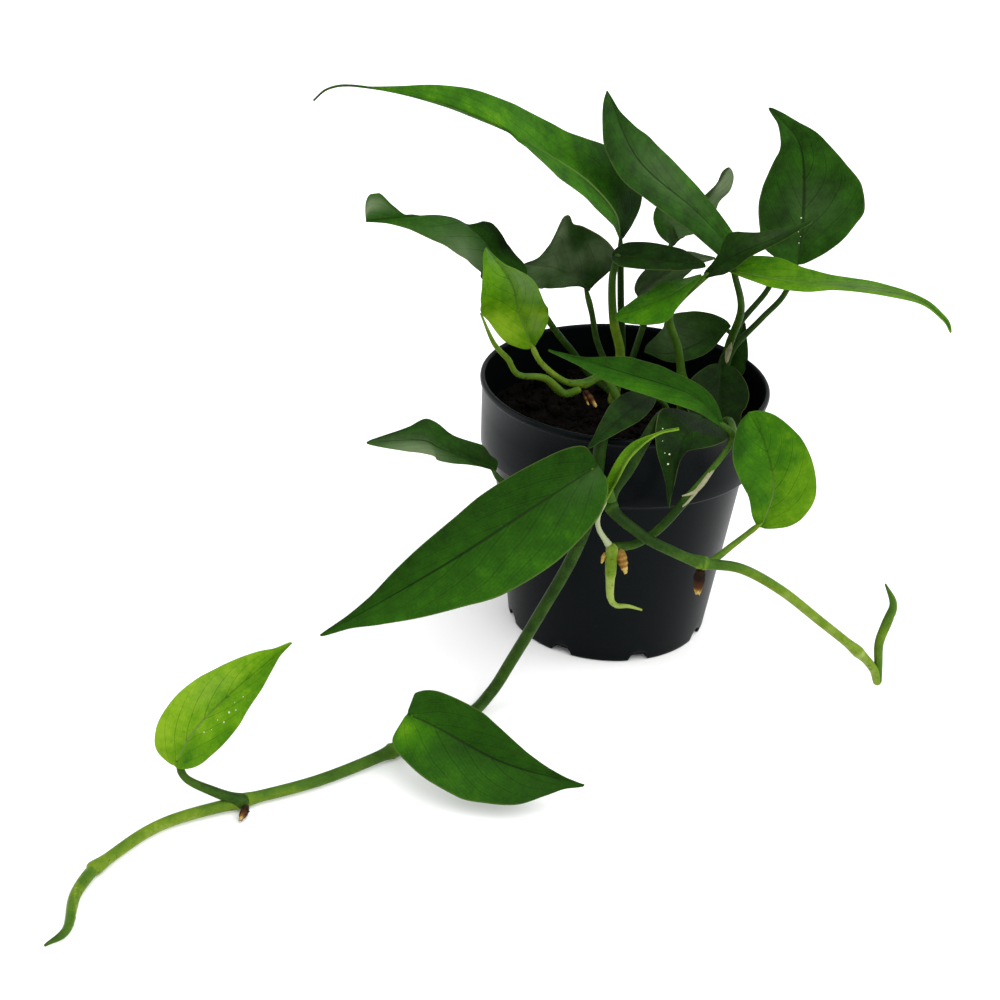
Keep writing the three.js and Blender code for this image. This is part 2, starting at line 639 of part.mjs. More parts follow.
// Soil: fills the pot up to its uneven top, with a plain hole for each stem's foot
function soilSolid() {
  const stations = [
    [0, FLOOR_THICKNESS + GAP],
    [innerRadius(FLOOR_THICKNESS) - GAP, FLOOR_THICKNESS + GAP],
    [innerRadius(COLLAR_BOTTOM) - GAP, COLLAR_BOTTOM],
    [innerRadius(COLLAR_INNER_BOTTOM) - GAP, COLLAR_INNER_BOTTOM + SOIL_STEP_RISE],
  ];
  const edge = innerRadius(COLLAR_INNER_BOTTOM) - GAP;
  const points = [new THREE.Vector3(0, 0, stations[0][1])];
  const rings = stations.slice(1).map(([r, z]) => [r, () => z]);
  for (let i = 0; i < SOIL_RINGS; i += 1) {
    rings.push([edge * (1 - i / SOIL_RINGS), soilHeight]);
  }
  for (const [r, height] of rings) {
    for (let k = 0; k < SOIL_SIDES; k += 1) {
      const angle = 2 * Math.PI * k / SOIL_SIDES;
      const x = r * Math.cos(angle);
      const y = r * Math.sin(angle);
      points.push(new THREE.Vector3(x, y, height(x, y)));
    }
  }
  const last = points.push(new THREE.Vector3(0, 0, soilHeight(0, 0))) - 1;
  const faces = [];
  for (let k = 0; k < SOIL_SIDES; k += 1) {
    const next = (k + 1) % SOIL_SIDES;
    faces.push(0, 1 + next, 1 + k);
    for (let i = 0; i < rings.length - 1; i += 1) {
      const a = 1 + i * SOIL_SIDES + k;
      const b = 1 + i * SOIL_SIDES + next;
      faces.push(a, b, b + SOIL_SIDES, a, b + SOIL_SIDES, a + SOIL_SIDES);
    }
    const top = 1 + (rings.length - 1) * SOIL_SIDES;
    faces.push(last, top + k, top + next);
  }
  let solid = toManifold(closedGeometry(points, faces));
  for (const stem of Object.values(STEMS)) {
    const [x, y] = stem.path[0];
    const radius = stem.radius[0] + HOLE_CLEARANCE;
    const hole = new THREE.CylinderGeometry(radius, radius, HOLE_DEPTH + HOLE_OVERSHOOT, HOLE_SIDES);
    hole.rotateX(Math.PI / 2);
    hole.translate(x, y, stem.path[0][2] - radius / 2 + (HOLE_DEPTH + HOLE_OVERSHOOT) / 2);
    solid = solid.subtract(toManifold(hole));
  }
  return fromManifold(solid);
}

const part = new THREE.Group();

function addPiece(name, geometry, colour, roughness) {
  const material = new THREE.MeshStandardMaterial({ color: colour, roughness, metalness: 0 });
  const mesh = new THREE.Mesh(geometry, material);
  mesh.name = name;
  part.add(mesh);
}

addPiece('pot', potSolid(), COLOUR_POT, 0.4);
addPiece('soil', soilSolid(), COLOUR_SOIL, 0.95);
for (const [name, stem] of Object.entries(STEMS)) {
  addPiece(name, leafyStem(stem), COLOUR_STEM, 0.5);
}
for (const [name, leaf] of Object.entries(BLADES)) {
  addPiece(name, bladeSolid(leaf), leaf.colour, 0.45);
}
for (const [name, shoot] of Object.entries(SHOOTS)) {
  addPiece(name, stemSolid(shoot.path, shoot.radius, STEM_SIDES), COLOUR_SHOOT, 0.45);
}
for (const [name, nub] of Object.entries(ROOT_NUBS)) {
  addPiece(name, stemSolid(nub.path, nub.radius, STEM_SIDES), COLOUR_ROOT, 0.8);
}
for (const [name, sheath] of Object.entries(SHEATHS)) {
  addPiece(name, bladeSolid(sheath), COLOUR_SHEATH, 0.8);
}

export default part;
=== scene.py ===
import bpy
import numpy as np
from mathutils import Matrix


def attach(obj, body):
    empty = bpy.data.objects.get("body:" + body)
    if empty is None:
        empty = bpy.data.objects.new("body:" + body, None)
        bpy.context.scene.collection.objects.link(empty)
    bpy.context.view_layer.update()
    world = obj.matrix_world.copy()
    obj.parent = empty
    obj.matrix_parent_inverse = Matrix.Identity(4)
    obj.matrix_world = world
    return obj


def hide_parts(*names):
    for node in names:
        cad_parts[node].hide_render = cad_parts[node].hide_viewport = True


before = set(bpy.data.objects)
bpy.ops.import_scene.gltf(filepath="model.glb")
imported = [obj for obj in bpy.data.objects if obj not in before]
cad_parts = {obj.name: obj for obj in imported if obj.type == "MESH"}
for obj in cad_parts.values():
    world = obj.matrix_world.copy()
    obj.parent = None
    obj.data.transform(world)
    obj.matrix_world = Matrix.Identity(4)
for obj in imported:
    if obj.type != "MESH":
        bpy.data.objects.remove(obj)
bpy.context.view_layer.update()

# Looks of a potted trailing pothos.
# Shapes are worked out in millimetres in the frame of the solids and become metres in add_piece:
# the origin is the middle of the pot's foot on the floor, +Z is up and -Y faces the viewer.
METRES = 0.001

# Sizes of the pot and the soil, as in the solids
POT_HEIGHT = 112.0
RIM_RADIUS = 60.0
COLLAR_RADIUS = 58.6
COLLAR_BOTTOM = 82.0
BODY_TOP_RADIUS = 53.4
FOOT_RADIUS = 43.2
WALL = 1.2
RIM_ROLL = 1.0
RIM_ROLL_HEIGHT = 3.0
DRAIN_SLOTS = 8
DRAIN_SLOT_WIDTH = 9.0
DRAIN_SLOT_HEIGHT = 4.5
DRAIN_SLOT_INNER_RADIUS = 37.0
DRAIN_SLOT_TURN = 0.3
SOIL_TOP = 92.0
SOIL_BUMP = 1.2
SOIL_RADIUS = 57.0
SOIL_FOOT = 80.0

# How finely the surfaces are cut
BLADE_ROWS = 121
BLADE_COLUMNS = 31
STEM_STEP = 0.9
LEAST_STEM_STEPS = 6
STEM_SIDES = 20
PETIOLE_SIDES = 14
POT_SIDES = 512
SOIL_SIDES = 160
SOIL_RINGS = 60
CURVE_SAMPLES = 401
DOME_DEGREES = (0, 30, 60, 85)

# Leaf blades
# rib: the middle vein from base to tip. up: the way the upper face looks.
# left, right: the width of each half in mm, seen from above with the base nearest, either at
# OUTLINE_SHARES of the rib's length or as (share, width). A smooth curve joins them and the ends.
# fold: how far the left and the right half rise from flat, in degrees or as (share, degrees).
# lobe: how far each base lobe reaches back, as a share of the length.
# wave: height in mm and number of the ripples along the edge.
# crests: single ripples, as side (-1 left, 1 right), share of the length, height and spread.
# skin: the slot, which also names the finish.
# tone: 0 black green to 1 yellow green in the middle, then the rise from base to tip and from
# the midrib to the right edge. The rises are partly the leaf's own colour and partly painted
# light and shade, and the low tones of the blades inside the crown are partly painted shade.
# patches: whether tone or paleness changes, how far across (-1 left edge to 1 right edge), at
# which share of the length, how widely, and by how much. Tone patches are partly the leaf's own
# colour and partly painted light and shade on parts that face towards or away from the light;
# paleness patches are painted sheen.
# drops: small drops on the upper face, as (how far across, share of the length).
OUTLINE_SHARES = (0.04, 0.12, 0.22, 0.34, 0.46, 0.58, 0.7, 0.82, 0.92)
FOLD_DEGREES = 14.0
LOBE_LENGTH = 0.36
LEAST_HALF_WIDTH = 0.35
BLADES = {
    "blade_01_tall_left": dict(
        rib=[(-5, 16, 166), (-9, 9, 180), (-21, 2, 194.5), (-36, -7, 206.5), (-51, -18, 217.5),
             (-67, -27, 227), (-82, -31, 232.5), (-97, -35, 236), (-111, -39, 238.4),
             (-118.5, -42, 237.6), (-123.5, -44, 233.6)],
        up=(0, -0.55, 0.83),
        left=[(0.04, 2.6), (0.12, 8.2), (0.22, 11), (0.34, 11.4), (0.4, 10), (0.45, 6.4),
              (0.482, 1.3), (0.52, 2), (0.6, 3.5), (0.7, 2.6), (0.8, 1)],
        right=[(0.04, 7), (0.09, 18), (0.15, 21), (0.22, 19.6), (0.28, 16), (0.34, 13.6),
               (0.46, 13.4), (0.58, 11.6), (0.7, 7), (0.8, 2.6), (0.88, 0.6)],
        fold=([(0.46, 10), (0.5, -122)], 14), lobe=(0.0, 0.03), skin="leaf_young",
        tone=(0.52, 0.15, 0.0), wave=(0.5, 2.5),
        patches=[("tone", 0.3, 0.02, 0.14, -0.4), ("tone", 1.0, 0.12, 0.12, -0.28),
                 ("tone", 0.3, 0.5, 0.14, 0.12), ("tone", 0.0, 1.0, 0.12, -0.6)]),
    "blade_02_upper_middle": dict(
        rib=[(51, 24, 152), (26, 18, 178), (-1, 10, 201.5), (-16, 0, 231)],
        up=(0.35, -0.8, 0.5),
        left=[(0.05, 2.5), (0.12, 5), (0.22, 7.2), (0.34, 9), (0.46, 10.6), (0.58, 10.8),
              (0.7, 12.2), (0.82, 12), (0.92, 8.4)],
        right=[(0.05, 2), (0.12, 3.8), (0.22, 5.4), (0.34, 6.8), (0.46, 9), (0.58, 10.6),
               (0.7, 9.6), (0.82, 5), (0.92, 1.4)],
        fold=(8, 8), lobe=(0.04, 0.02), skin="leaf_old", tone=(0.34, -0.08, 0.04),
        wave=(0.5, 2.0),
        # The pale patch is painted sheen
        patches=[("tone", -1.0, 0.3, 0.16, -0.1), ("pale", 0.3, 0.55, 0.22, 0.22)]),
    "blade_03_upper_right": dict(
        rib=[(70, 28, 155), (71, 36, 172), (67.5, 44, 200.5), (53, 46, 215.5)],
        up=(0, -0.85, 0.5),
        left=[11, 17, 18.8, 20, 18.6, 15.6, 11.5, 7, 2],
        right=[5.5, 12, 19.3, 25.2, 23.6, 17, 9.8, 4.2, 2.6],
        lobe=(0.05, 0.02), skin="leaf_old", tone=(0.32, 0.0, 0.03), wave=(0.7, 3.0),
        patches=[("tone", -0.6, 0.3, 0.2, -0.12), ("pale", 0.15, 0.35, 0.16, 0.14)],
        drops=[(-0.06, 0.13), (-0.04, 0.17), (-0.1, 0.2), (0.03, 0.24), (-0.05, 0.28)]),
    "blade_04_small_back": dict(
        rib=[(19, 46, 154), (17, 50, 163), (29, 54, 168), (41, 58, 186)],
        up=(0, -0.8, 0.5),
        left=[(0.05, 0.9), (0.12, 2.2), (0.2, 4.6), (0.26, 8.6), (0.32, 5.4), (0.46, 4), (0.58, 3),
              (0.7, 1.6), (0.82, 0.8), (0.92, 1.6)],
        right=[(0.05, 2), (0.12, 6), (0.22, 8.5), (0.34, 9), (0.46, 9), (0.58, 7), (0.7, 5),
               (0.82, 6), (0.92, 4.8)],
        lobe=(0.08, 0.07), skin="leaf_grey", tone=(0.3, 0.1, 0.0), wave=(0.9, 3.5),
        patches=[("pale", 0.4, 0.9, 0.2, 1.2)]),
    "blade_05_left": dict(
        rib=[(-43, 20, 147), (-55, 14, 156.5), (-61, 9, 166), (-70, 3, 175.2), (-79, -1, 178.6),
             (-91, -6, 179), (-107, -12, 178.5)],
        up=(0, -0.6, 0.8),
        left=[(0.06, 5), (0.2, 12), (0.34, 16.5), (0.46, 19.2), (0.58, 21), (0.7, 15.6),
              (0.82, 6.3), (0.92, 2.2)],
        right=[(0.04, 3.8), (0.12, 5.5), (0.22, 7.5), (0.34, 7.4), (0.4, 5.4), (0.44, 2.2),
               (0.47, 1), (0.55, 5), (0.68, 6), (0.76, 1.2), (0.8, 0.8), (0.86, 4.8),
               (0.92, 10.3), (0.955, 10.3), (0.985, 7.8)],
        fold=(10, [(0.43, 20), (0.49, -63), (0.72, -63), (0.79, 24)]), lobe=(0.04, 0.03),
        skin="leaf_green", tone=(0.4, 0.0, 0.0), wave=(0.5, 2.0),
        # The dark tone patch near the base on the right is painted shade on the half that faces
        # away from the light, and the pale patches are painted sheen
        patches=[("tone", 0.9, 0.25, 0.2, -0.4), ("pale", -1.0, 0.5, 0.2, 0.55),
                 ("pale", 0.6, 0.99, 0.09, 1.0)]),
    "blade_06_left_middle": dict(
        rib=[(-15.5, 36, 136), (-23, 40, 140), (-32.5, 44, 142.5), (-44, 46, 142.5)],
        up=(0, -0.85, 0.5),
        left=[(0.06, 0.8), (0.12, 1.4), (0.22, 3.9), (0.34, 7.2), (0.46, 9.2), (0.58, 10.2),
              (0.7, 10.8), (0.82, 10.4), (0.92, 8)],
        right=[(0.04, 7), (0.08, 11), (0.14, 15.5), (0.22, 19.5), (0.34, 21.2), (0.46, 21.2),
               (0.54, 20.4), (0.585, 22.8), (0.625, 21.4), (0.66, 14), (0.7, 9), (0.82, 3.2),
               (0.92, 1.5)],
        lobe=(0, 0.2), skin="leaf_grey", tone=(0.16, 0.1, -0.04), wave=(0.5, 2.5),
        crests=[(1, 0.6, 2.4, 0.04), (-1, 0.6, 0.8, 0.05)],
        patches=[("pale", 0.7, 0.6, 0.05, 0.5), ("pale", 0.1, 0.8, 0.22, 0.35)]),
    "blade_07_young_left": dict(
        rib=[(-39, -6, 126), (-45, -9, 141), (-49, -15, 157), (-59.5, -20, 172.6)],
        up=(0, -0.9, 0.45),
        left=[3.5, 6.5, 10, 12.5, 15.3, 15.7, 15, 10.8, 5.5],
        right=[2.5, 6.5, 10.5, 12, 10.7, 9, 5, 1.6, 0.8],
        lobe=(0.04, 0.02), skin="leaf_young", tone=(0.77, -0.04, -0.02), wave=(0.5, 3.0),
        # The pale patches are painted sheen
        patches=[("tone", -0.7, 0.3, 0.16, 0.24), ("pale", 0.6, 0.62, 0.18, 0.5),
                 ("pale", 0.5, 0.2, 0.1, 0.3), ("tone", -0.25, 0.6, 0.12, -0.1),
                 ("tone", 0.6, 0.3, 0.14, 0.14),
                 ("pale", 0.0, 1.0, 0.14, 0.5)]),
    "blade_08_right_middle": dict(
        rib=[(29, 8, 155), (40, 2, 167), (54, -4, 177), (67, -8, 186)],
        up=(0, -0.6, 0.8),
        left=[(0.04, 1.8), (0.12, 2.6), (0.22, 4.6), (0.29, 8), (0.34, 9.8), (0.39, 9.2),
              (0.46, 7.4), (0.58, 4.8), (0.7, 3.4), (0.82, 2), (0.92, 1)],
        right=[(0.05, 2.2), (0.12, 3.8), (0.22, 6.2), (0.34, 7), (0.46, 5.5), (0.58, 4.2),
               (0.7, 3.3), (0.82, 2.4), (0.92, 1.3)],
        lobe=(0, 0), skin="leaf_old", tone=(0.2, 0.08, -0.04), wave=(0.3, 2.0),
        patches=[("pale", -0.4, 0.7, 0.25, 0.15)]),
    "blade_09_centre": dict(
        rib=[(28, 8, 156), (15, 0, 149.5), (5, -3, 145), (-6.5, -5, 140.5)],
        up=(0, -0.6, 0.8),
        left=[(0.1, 2.4), (0.22, 3.6), (0.34, 5.6), (0.46, 8.6), (0.52, 11), (0.58, 12),
              (0.7, 10.4), (0.82, 7.6), (0.92, 4.8)],
        right=[(0.1, 1.5), (0.22, 3.2), (0.34, 4.7), (0.46, 5.8), (0.58, 5), (0.7, 4.8),
               (0.82, 3.5), (0.92, 2.3)],
        lobe=(0, 0), skin="leaf_young", tone=(0.52, 0.1, -0.08), wave=(0.3, 2.0),
        patches=[("pale", 0.5, 0.1, 0.14, 0.3)]),
    "blade_10_over_front": dict(
        rib=[(35, -60, 120), (23, -50, 128), (-3, -36, 130), (-33, -24, 133)],
        up=(0, -0.6, 0.8),
        left=[2, 4.5, 7.5, 8.8, 8.5, 7.8, 6.5, 3.7, 2],
        right=[1, 2.6, 4.2, 5.6, 7, 6.8, 4, 1.2, 0.6],
        lobe=(0.01, 0.05), skin="leaf_green", tone=(0.34, 0.02, -0.04), wave=(0.4, 2.0),
        # The tone patch along the left edge is a painted highlight, a bright strip where light
        # catches that edge
        patches=[("tone", -0.9, 0.45, 0.3, 0.14)]),
    "blade_11_long_right": dict(
        rib=[(38, 2.5, 160.5), (62, -4, 159.5), (84, -12, 161.5), (109, -20, 160.8),
             (119.5, -26, 155.5), (123.5, -28, 150.5)],
        up=(0, -0.6, 0.8),
        left=[4.5, 8, 9, 5.8, 4, 3.8, 2.6, 1.5, 1.5],
        right=[2, 3.8, 5.4, 5.2, 3.2, 2.7, 2.5, 1.7, 0.7],
        lobe=(0.03, 0.01), skin="leaf_young", tone=(0.72, 0.08, 0.05), wave=(0.35, 2.0),
        patches=[("pale", 0.0, 0.62, 0.22, 0.5), ("tone", 0.0, 0.9, 0.12, -0.2),
                 ("tone", 0.0, 1.0, 0.05, -0.6)]),
    "blade_12_right_inside": dict(
        rib=[(41, 15, 114), (40, 4, 103), (42, -8, 98), (47, -20, 97)],
        up=(0, -0.9, 0.45),
        left=[(0.1, 7.5), (0.36, 13), (0.6, 11.5), (0.85, 6)],
        right=[(0.1, 7), (0.4, 15), (0.65, 12.5), (0.87, 6)],
        lobe=(0.04, 0.03), skin="leaf_old", tone=(0.03, 0.0, 0.0), wave=(0.5, 2.0)),
    "blade_13_right_back": dict(
        rib=[(46, 37, 123), (33, 32, 116), (21, 26, 113), (9, 22, 115)],
        up=(0, -0.6, 0.8),
        left=[(0.1, 2.5), (0.45, 7), (0.75, 4.8), (0.92, 2)],
        right=[(0.06, 5.5), (0.15, 9.5), (0.3, 14), (0.5, 16.5), (0.75, 12), (0.92, 5.5)],
        lobe=(0, 0.03), skin="leaf_old", tone=(0.2, 0.0, 0.0), wave=(0.4, 2.0),
        patches=[("pale", 0.6, 0.6, 0.3, 0.14)]),
    "blade_14_front_inside": dict(
        rib=[(11, -24, 117), (0, -46, 119), (-9, -64, 119), (-17, -74, 115)],
        up=(0, -0.6, 0.8),
        left=[(0.1, 2.6), (0.48, 7), (0.8, 4), (0.92, 1.8)],
        right=[(0.1, 3), (0.45, 7), (0.8, 3.8), (0.92, 1.6)],
        lobe=(0.03, 0.04), skin="leaf_old", tone=(0.12, 0.0, 0.0), wave=(0.3, 2.0)),
    "blade_15_hanging_front": dict(
        rib=[(29, -42, 115), (21, -61, 117), (17, -71, 110), (16, -72, 90)],
        up=(0, -0.5, 0.85),
        left=[(0.06, 6), (0.14, 12), (0.24, 15), (0.34, 14.5), (0.42, 12.5), (0.48, 9),
              (0.55, 3), (0.64, 1.2), (0.8, 0.6)],
        right=[(0.1, 5), (0.22, 10), (0.34, 13.5), (0.46, 12), (0.58, 9), (0.7, 5),
               (0.82, 2.6), (0.92, 1.5)],
        fold=(8, 14), lobe=(0.01, 0.01), skin="leaf_old", tone=(0.07, 0.0, 0.0),
        wave=(0.3, 2.0), patches=[("pale", 0.0, 1.0, 0.08, 0.5)],
        drops=[(0.76, 0.47), (0.72, 0.54), (0.62, 0.6), (0.4, 0.6), (0.5, 0.66)]),
    "blade_16_rolled_front": dict(
        rib=[(-10, -77, 93), (-5.8, -77.5, 104), (-0.7, -78, 115.7), (7.9, -78, 124.1),
             (15.9, -78, 126.8)],
        up=(-0.5, -0.7, 0.5),
        left=[(0.1, 2.4), (0.35, 3.6), (0.6, 3), (0.72, 1.6), (0.82, 0.5)],
        right=[(0.1, 2.4), (0.35, 3.6), (0.6, 3), (0.72, 1.6), (0.82, 0.5)],
        fold=(48, 48), lobe=(0, 0), skin="leaf_young", tone=(0.84, 0.0, 0.08), wave=(0.1, 2.0),
        patches=[("pale", 0.5, 0.5, 0.3, 0.2)]),
    "blade_17_large_front": dict(
        rib=[(-13, -80, 111), (-38, -85.5, 93.5), (-65.5, -96, 76.5), (-94, -104, 59.5),
             (-114, -112, 49.8)],
        up=(0, -0.8, 0.6),
        left=[6.5, 12, 19, 23.5, 22.5, 18, 13.5, 8, 3],
        right=[6.5, 10, 13, 14.8, 13.2, 11, 7.8, 3.6, 1.4],
        lobe=(0.11, 0.12), skin="leaf_green", tone=(0.32, 0.0, -0.08), wave=(0.5, 2.5),
        # The pale patch by the base is painted sheen
        patches=[("pale", -0.4, 0.02, 0.14, 0.14), ("tone", -0.5, 0.5, 0.3, 0.06)]),
    "blade_18_left_rim": dict(
        rib=[(-51, -52, 93), (-72, -56, 102.2), (-81, -62, 108.8), (-101, -68, 109.6)],
        up=(0, -0.6, 0.8),
        left=[1.2, 1.6, 3, 5.2, 6.2, 7.4, 6.6, 4.4, 2.6],
        right=[3.5, 4.2, 7.2, 7, 8, 9, 5.6, 3.3, 1.8],
        lobe=(0.01, 0.06), skin="leaf_old", tone=(0.26, 0.1, -0.06), wave=(0.6, 2.5),
        # The pale patches are painted sheen
        patches=[("pale", -0.8, 0.65, 0.24, 0.8), ("pale", 0.3, 0.9, 0.14, 0.2)]),
    "blade_19_round_right": dict(
        rib=[(54, -60, 77), (56.5, -62, 96), (50.5, -63, 116), (43.5, -62, 127.5)],
        up=(0.1, -0.95, 0.3),
        left=[3, 6, 8.5, 11, 13, 14.4, 15, 13.8, 10],
        right=[5.5, 10.5, 14.2, 16.5, 16, 15.2, 13.7, 10.2, 6.8],
        # The tone's rise towards the right edge and the first tone patch are painted light on the
        # half that faces the light
        lobe=(0.01, 0.02), skin="leaf_young", tone=(0.62, -0.14, 0.08), wave=(0.5, 2.0),
        patches=[("tone", 0.7, 0.3, 0.2, 0.1), ("tone", -0.8, 0.9, 0.2, -0.15)]),
    "blade_20_on_floor": dict(
        rib=[(-80, -124, 24.8), (-68, -131, 24), (-43, -141, 17), (-13, -147, 13)],
        up=(0, -0.75, 0.65),
        left=[(0.03, 6.8), (0.12, 9.4), (0.22, 12.2), (0.34, 13.2), (0.46, 11.6), (0.58, 9.2),
              (0.7, 5.8), (0.82, 2.6), (0.92, 0.8)],
        right=[(0.03, 8.6), (0.12, 13), (0.22, 16.8), (0.34, 19.6), (0.46, 19.4), (0.58, 16.8),
               (0.7, 13.8), (0.82, 7.8), (0.92, 3)],
        lobe=(0.11, 0.11), skin="leaf_green", tone=(0.32, -0.06, 0.0), wave=(0.6, 2.5),
        # The first tone patch, on the lobe by the base, is painted light
        patches=[("tone", 0.55, 0.08, 0.16, 0.36), ("tone", 0.8, 0.45, 0.16, 0.1)]),
    "blade_21_young_front": dict(
        rib=[(-161, -160, 22), (-153.2, -157.3, 36.8), (-139.8, -151, 50.2),
             (-120.5, -144, 66.6)],
        up=(-0.1, -0.8, 0.6),
        left=[8, 11, 12.6, 12.9, 12.2, 10.3, 8, 5.2, 2],
        right=[4.2, 8, 10.8, 12.3, 11.6, 9.3, 7, 3.6, 1],
        lobe=(0.01, 0.03), skin="leaf_young", tone=(0.83, -0.2, -0.1), wave=(0.4, 2.5),
        patches=[("tone", 0.4, 0.1, 0.14, -0.18), ("pale", -0.5, 0.5, 0.14, 0.12)],
        drops=[(0.3, 0.3), (0.42, 0.34), (0.35, 0.4), (0.55, 0.42), (0.46, 0.48), (0.6, 0.52),
               (0.38, 0.54), (0.5, 0.6)]),
    "blade_22_centre_flat": dict(
        rib=[(-9, 6, 163), (6, 2, 164), (28, -4, 164)],
        up=(0, -0.5, 0.85),
        left=[(0.08, 4), (0.22, 6.3), (0.46, 7), (0.7, 6), (0.86, 3.6)],
        right=[(0.08, 5), (0.22, 7.8), (0.46, 7.8), (0.7, 6.2), (0.86, 3.8)],
        lobe=(0.05, 0.04), skin="leaf_old", tone=(0.07, 0.0, 0.05), wave=(0.3, 2.0)),
    "blade_23_back_grey": dict(
        rib=[(5, 40, 133), (14, 38, 142), (25, 36, 151), (36, 34, 154)],
        up=(0, -0.8, 0.6),
        left=[(0.08, 4), (0.35, 7), (0.65, 5.2), (0.88, 1.8)],
        right=[(0.08, 3.8), (0.36, 7), (0.65, 5.4), (0.88, 1.8)],
        lobe=(0.04, 0.03), skin="leaf_grey", tone=(0.16, 0.0, 0.0), wave=(0.4, 2.0),
        patches=[("pale", 0.0, 0.8, 0.3, 0.3)]),
    "blade_24_right_edge": dict(
        rib=[(44, 24, 104), (48, 27, 114), (51, 31, 127)],
        up=(0.1, -0.9, 0.45),
        left=[(0.2, 2.4), (0.6, 3), (0.85, 1.8)],
        right=[(0.1, 5), (0.2, 6.8), (0.4, 6.2), (0.6, 4.5), (0.8, 2.4)],
        lobe=(0, 0), skin="leaf_old", tone=(0.2, 0.0, 0.0), wave=(0.1, 2.0)),
}

